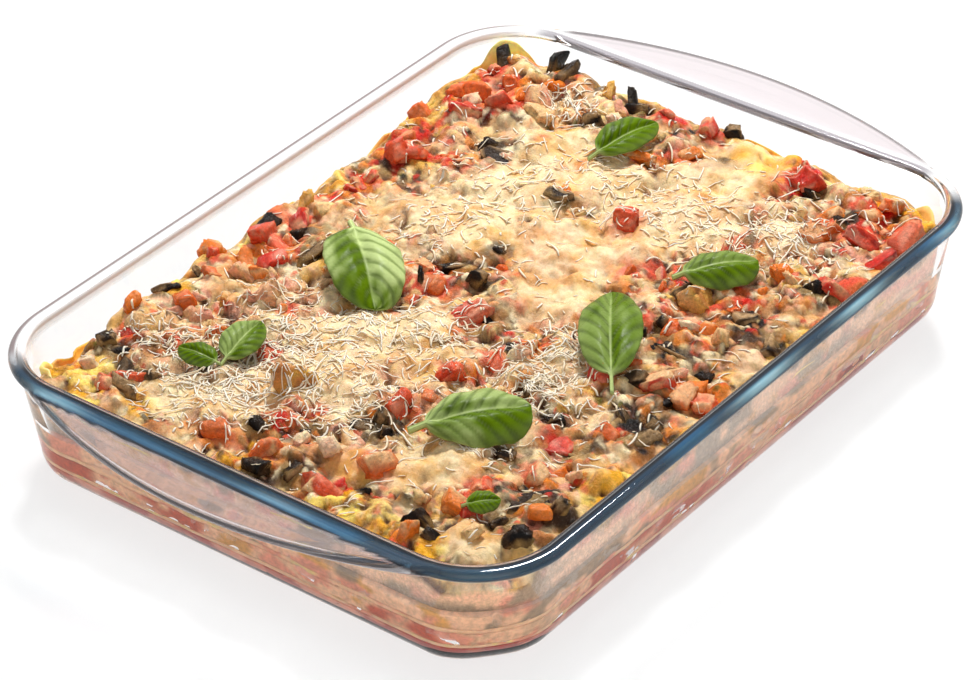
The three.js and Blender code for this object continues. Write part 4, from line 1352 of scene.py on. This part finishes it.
def make_leaf(name, tree, material, generator):
    """A thin bent leaf, laid at its place in the photo and lifted until it rests on the food."""
    stem_pixel, tip_pixel, width, stem_rise, tip_rise, roll, fold, curl, painted_sheen = LEAF_PLACES[name]
    base, point = LEAF_FORMS.get(name, LEAF_FORM)
    level = CRUST_EDGE + CRUST_DOME + LEAF_REST
    stem = np.array([*photo_spot(stem_pixel, level), level])
    tip = np.array([*photo_spot(tip_pixel, level), level])
    length = math.dist(stem, tip)
    lengthwise = np.linspace(0, 1, LEAF_ROWS + 1)
    along, across = np.meshgrid(lengthwise, np.linspace(-1, 1, LEAF_COLUMNS + 1), indexing="ij")
    aside = np.abs(across)
    half = leaf_outline(along, base, point) * width / 2 * (1 + 0.01 * np.sin(along * 60))
    blade = blade_share(along)
    vein_phase = (blade - 0.32 * aside ** 0.8) * LEAF_VEINS
    between = np.abs(np.sin(vein_phase * np.pi))
    on_blade = smoothstep(0.02, 0.14, blade) * (1 - smoothstep(0.85, 1, blade))
    quilt = 0.014 * width * between * on_blade * (1 - aside ** 3) * smoothstep(0.03, 0.25, aside)
    crease = 0.05 * width * (smoothstep(0, 0.35, aside) - 1) * on_blade
    bent = 0.08 * length * np.sin(np.pi * along)
    bent = bent - 0.5 * length * math.sin(math.radians(curl)) * np.clip(along - 0.6, 0, 1) ** 2 * 2.5
    raised = math.tan(math.radians(fold)) * half * aside
    crown = bent + raised - 0.3 * half * aside ** 2.4
    flutter = 0.02 * width * np.sin(blade * 17 + 2 * np.sign(across)) * aside ** 3
    rise = crown + quilt + crease + flutter
    tilt = math.radians(roll)
    side = half * across
    forward = (tip - stem) / length
    sideways = np.array([-forward[1], forward[0], 0])
    local_side = side * math.cos(tilt) - rise * math.sin(tilt)
    local_up = side * math.sin(tilt) + rise * math.cos(tilt) + stem_rise + (tip_rise - stem_rise) * along
    upper = stem + (along * length)[..., None] * forward + local_side[..., None] * sideways
    upper[..., 2] += local_up
    lift = 0
    for spot in upper[::4, ::3].reshape(-1, 3):
        ground = surface_height(tree, spot[0], spot[1])
        if ground is not None:
            lift = max(lift, ground + 0.6 - spot[2])
    upper[..., 2] += lift * 0.85
    lower = upper.copy()
    thickness = 0.5 + 0.5 * (1 - smoothstep(0, 0.12, aside)) + 0.7 * (1 - smoothstep(0.1, 0.2, along))
    lower[..., 2] -= thickness

    tint = leaf_tint(along, across, between, on_blade, painted_sheen, int(generator.integers(900)))
    pale = blend(tint, LEAF_PALE_AND_SHEEN, np.full(tint.shape[:2], 0.4))
    points = np.vstack([upper.reshape(-1, 3), lower.reshape(-1, 3)])
    tints = np.vstack([tint.reshape(-1, 3), pale.reshape(-1, 3)])
    label = name.replace("basil_leaf", "fresh_basil")
    piece = make_piece(label, points, leaf_faces(), material, tints, (name,))
    work = bmesh.new()
    work.from_mesh(piece.data)
    bmesh.ops.recalc_face_normals(work, faces=work.faces[:])
    work.to_mesh(piece.data)
    work.free()


# Materials

# Where the noise of a food surface lies, and the depth of its bump in metres
NOISE_RANGE = {"From Min": 0.3, "From Max": 0.7}
BUMP_DEPTH = 0.0012


def set_inputs(node, values):
    for key, value in values.items():
        node.inputs[key].default_value = value


def add_node(tree, kind, values=None, operation=None):
    """A new node with values for some of its inputs."""
    node = tree.nodes.new("ShaderNode" + kind)
    if operation:
        node.operation = operation
    set_inputs(node, values or {})
    return node


def add_paint(tree):
    """The colours painted on the mesh."""
    paint = add_node(tree, "VertexColor")
    paint.layer_name = "tint"
    return paint


def new_material(name):
    material = bpy.data.materials.new(name)
    material.use_nodes = True
    tree = material.node_tree
    return material, tree, tree.nodes["Principled BSDF"]


def mix_shaders(tree, share, first, second):
    """Sends a mix of two shaders, by a share from 0 to 1, to the material's surface."""
    mix = add_node(tree, "MixShader")
    tree.links.new(share, mix.inputs["Fac"])
    tree.links.new(first, mix.inputs[1])
    tree.links.new(second, mix.inputs[2])
    tree.links.new(mix.outputs["Shader"], tree.nodes["Material Output"].inputs["Surface"])


def food_material(name, roughness, gloss, grain, bump, variation, subsurface=0.0):
    """A moist food surface: its painted colour, finely mottled, with a fine bump."""
    material, tree, shader = new_material(name)
    link = tree.links.new
    paint = add_paint(tree)
    place = add_node(tree, "TexCoord")
    noise = add_node(tree, "TexNoise", {"Scale": grain, "Detail": 5, "Roughness": 0.65})
    link(place.outputs["Object"], noise.inputs["Vector"])
    shades = {**NOISE_RANGE, "To Min": 1 - variation, "To Max": 1 + variation * 0.6}
    shade = add_node(tree, "MapRange", shades)
    link(noise.outputs["Fac"], shade.inputs["Value"])
    mottle = add_node(tree, "Mix", {"A": 1})
    link(paint.outputs["Alpha"], mottle.inputs["Factor"])
    link(shade.outputs["Result"], mottle.inputs["B"])
    mix = add_node(tree, "VectorMath", operation="SCALE")
    link(paint.outputs["Color"], mix.inputs[0])
    link(mottle.outputs["Result"], mix.inputs["Scale"])
    link(mix.outputs["Vector"], shader.inputs["Base Color"])
    dullness = {**NOISE_RANGE, "To Min": roughness - 0.12, "To Max": roughness + 0.15}
    shine = add_node(tree, "MapRange", dullness)
    link(noise.outputs["Fac"], shine.inputs["Value"])
    link(shine.outputs["Result"], shader.inputs["Roughness"])
    strength = add_node(tree, "Math", {1: bump}, "MULTIPLY")
    link(paint.outputs["Alpha"], strength.inputs[0])
    relief = add_node(tree, "Bump", {"Distance": BUMP_DEPTH})
    link(strength.outputs["Value"], relief.inputs["Strength"])
    link(noise.outputs["Fac"], relief.inputs["Height"])
    link(relief.outputs["Normal"], shader.inputs["Normal"])
    set_inputs(shader, {"Specular IOR Level": gloss})
    if subsurface:
        set_inputs(shader, {
            "Subsurface Weight": subsurface,
            "Subsurface Radius": (1.0, 0.5, 0.25),
            "Subsurface Scale": 0.003,
        })
    return material


def glass_material():
    """Clear glass that takes its tint from the mesh and lets the lamps through."""
    material, tree, shader = new_material("clear_glass")
    set_inputs(shader, {"Roughness": 0.0, "IOR": 1.47, "Specular IOR Level": 0.28})
    paint = add_paint(tree)
    clear = add_node(tree, "BsdfTransparent")
    path = add_node(tree, "LightPath")
    tree.links.new(paint.outputs["Color"], shader.inputs["Base Color"])
    tree.links.new(paint.outputs["Alpha"], shader.inputs["Transmission Weight"])
    tree.links.new(paint.outputs["Color"], clear.inputs["Color"])
    mix_shaders(tree, path.outputs["Is Shadow Ray"], shader.outputs["BSDF"], clear.outputs["BSDF"])
    return material


# Stage

WHITE = (1, 1, 1, 1)
FLOOR_GREY = (0.9, 0.9, 0.9, 1)
FLOOR_HALF = 6
FLOOR_DROP = 0.0004
# How much of the floor glows white to the camera, directly, in the glass or through it
FLOOR_GLOW = 0.75
# Strength of the white surroundings as seen, and as light on matt surfaces
WORLD_SEEN = 1.0
WORLD_LIGHT = 0.4


def make_world():
    world = bpy.data.worlds.new("studio")
    bpy.context.scene.world = world
    world.use_nodes = True
    tree = world.node_tree
    background = tree.nodes["Background"]
    set_inputs(background, {"Color": WHITE})
    sight = add_node(tree, "LightPath")
    strength = add_node(tree, "MapRange", {"To Min": WORLD_SEEN, "To Max": WORLD_LIGHT})
    tree.links.new(sight.outputs["Is Diffuse Ray"], strength.inputs["Value"])
    tree.links.new(strength.outputs["Result"], background.inputs["Strength"])


def floor_material():
    """A pale floor that shows soft shadows on a mostly white ground."""
    material, tree, shader = new_material("pale_floor")
    set_inputs(shader, {"Base Color": FLOOR_GREY, "Roughness": 0.9})
    glow = add_node(tree, "Emission", {"Color": WHITE})
    path = add_node(tree, "LightPath")
    seen = path.outputs["Is Camera Ray"]
    for ray in ("Is Transmission Ray", "Is Glossy Ray"):
        either = add_node(tree, "Math", operation="MAXIMUM")
        tree.links.new(seen, either.inputs[0])
        tree.links.new(path.outputs[ray], either.inputs[1])
        seen = either.outputs["Value"]
    share = add_node(tree, "Math", {1: FLOOR_GLOW}, "MULTIPLY")
    tree.links.new(seen, share.inputs[0])
    mix_shaders(tree, share.outputs["Value"], shader.outputs["BSDF"], glow.outputs["Emission"])
    return material


def make_stage():
    bpy.context.scene.view_settings.view_transform = "Standard"
    make_world()
    mesh = bpy.data.meshes.new("floor")
    corners = [(-FLOOR_HALF, -FLOOR_HALF, 0), (FLOOR_HALF, -FLOOR_HALF, 0),
               (FLOOR_HALF, FLOOR_HALF, 0), (-FLOOR_HALF, FLOOR_HALF, 0)]
    mesh.from_pydata(corners, [], [(0, 1, 2, 3)])
    mesh.materials.append(floor_material())
    floor = add_object("floor", mesh)
    floor.location.z = -FLOOR_DROP
    add_lamp("key", (0.85, 0.5, 1.25), 0.26, 32)
    add_lamp("fill", (-0.95, -1.0, 0.45), 1.4, 4.5)


def add_lamp(name, place, size, power):
    """A square lamp that faces the middle of the dish; place and size in metres, power in watts."""
    data = bpy.data.lights.new(name, "AREA")
    data.size = size
    data.energy = power
    lamp = add_object(name, data)
    lamp.location = place
    lamp.rotation_mode = "QUATERNION"
    lamp.rotation_quaternion = Vector(place).to_track_quat("Z", "Y")


def bake_tree(names):
    """Search tree over the surfaces of some pieces, in metres."""
    points, faces = [], []
    for name in names:
        mesh = bpy.data.objects[name].data
        start = len(points)
        points.extend(vert.co[:] for vert in mesh.vertices)
        faces.extend(tuple(corner + start for corner in face.vertices) for face in mesh.polygons)
    return BVHTree.FromPolygons(points, faces)


# The scene

random = np.random.default_rng(SEED)
make_camera()
make_stage()

glass = glass_material()
# Roughness, gloss, fineness of the grain, bump, how much the colour varies and at times subsurface weight
sauce = food_material("tomato_sauce", 0.35, 0.15, 260, 0.3, 0.25)
filling = food_material("vegetable_filling", 0.5, 0.1, 420, 0.5, 0.3)
pasta = food_material("baked_pasta", 0.4, 0.08, 220, 0.25, 0.18, 0.5)
cheese = food_material("melted_cheese", 0.22, 0.12, 820, 0.8, 0.3, 0.2)
tomato = food_material("cooked_tomato", 0.16, 0.18, 620, 0.7, 0.35, 0.2)
aubergine = food_material("cooked_aubergine", 0.2, 0.1, 620, 0.7, 0.45)
mushroom = food_material("baked_mushroom", 0.22, 0.1, 720, 0.7, 0.35, 0.2)
grated = food_material("hard_cheese", 0.5, 0.05, 700, 0.2, 0.06, 0.1)
basil = food_material("basil_leaf", 0.3, 0.03, 650, 0.1, 0.1)

make_glass(glass)
make_layer("red_sauce", "sauce_pool", SAUCE_COLOURS, sauce, 0.6, 101)
make_layer("lower_filling", "filling_lower", FILLING_COLOURS, filling, 2.4, 201)
make_layer("upper_filling", "filling_upper", UPPER_COLOURS, filling, 2.4, 301)
make_flat_pasta("low_sheet", ("pasta_low_1", "pasta_low_2", "pasta_low_3"), pasta, 401)
make_flat_pasta("middle_sheet", ("pasta_middle_1", "pasta_middle_2", "pasta_middle_3"), pasta, 501)
make_frilled_pasta("top_sheet", ("pasta_top_1", "pasta_top_2", "pasta_top_3"), pasta, 601)
make_topping(cheese, random)

crust_tree = bake_tree(["melted_cheese"])
taken = []
taken += make_cad_chunks("tomato_chunk", "tomato", tomato, random)
taken += make_cad_chunks("aubergine_wedge", "aubergine", aubergine, random)
taken += make_cad_chunks("mushroom_piece", "pale", mushroom, random)
make_dice("tomato_dice", "tomato", 20, taken, crust_tree, tomato, random)
make_dice("pepper_dice", "orange", 12, taken, crust_tree, tomato, random)
make_dice("aubergine_dice", "aubergine", 25, taken, crust_tree, aubergine, random)
make_dice("mushroom_dice", "pale", 60, taken, crust_tree, mushroom, random)
make_strips(aubergine, random)

dice = ["melted_cheese", "tomato_dice", "pepper_dice", "aubergine_dice", "mushroom_dice"]
dice += [piece.name for piece in bpy.data.objects if "_lump_" in piece.name]
bake_surface = bake_tree(dice)
make_shreds(bake_surface, grated, random)
for leaf_name in LEAF_PLACES:
    make_leaf(leaf_name, bake_surface, basil, random)
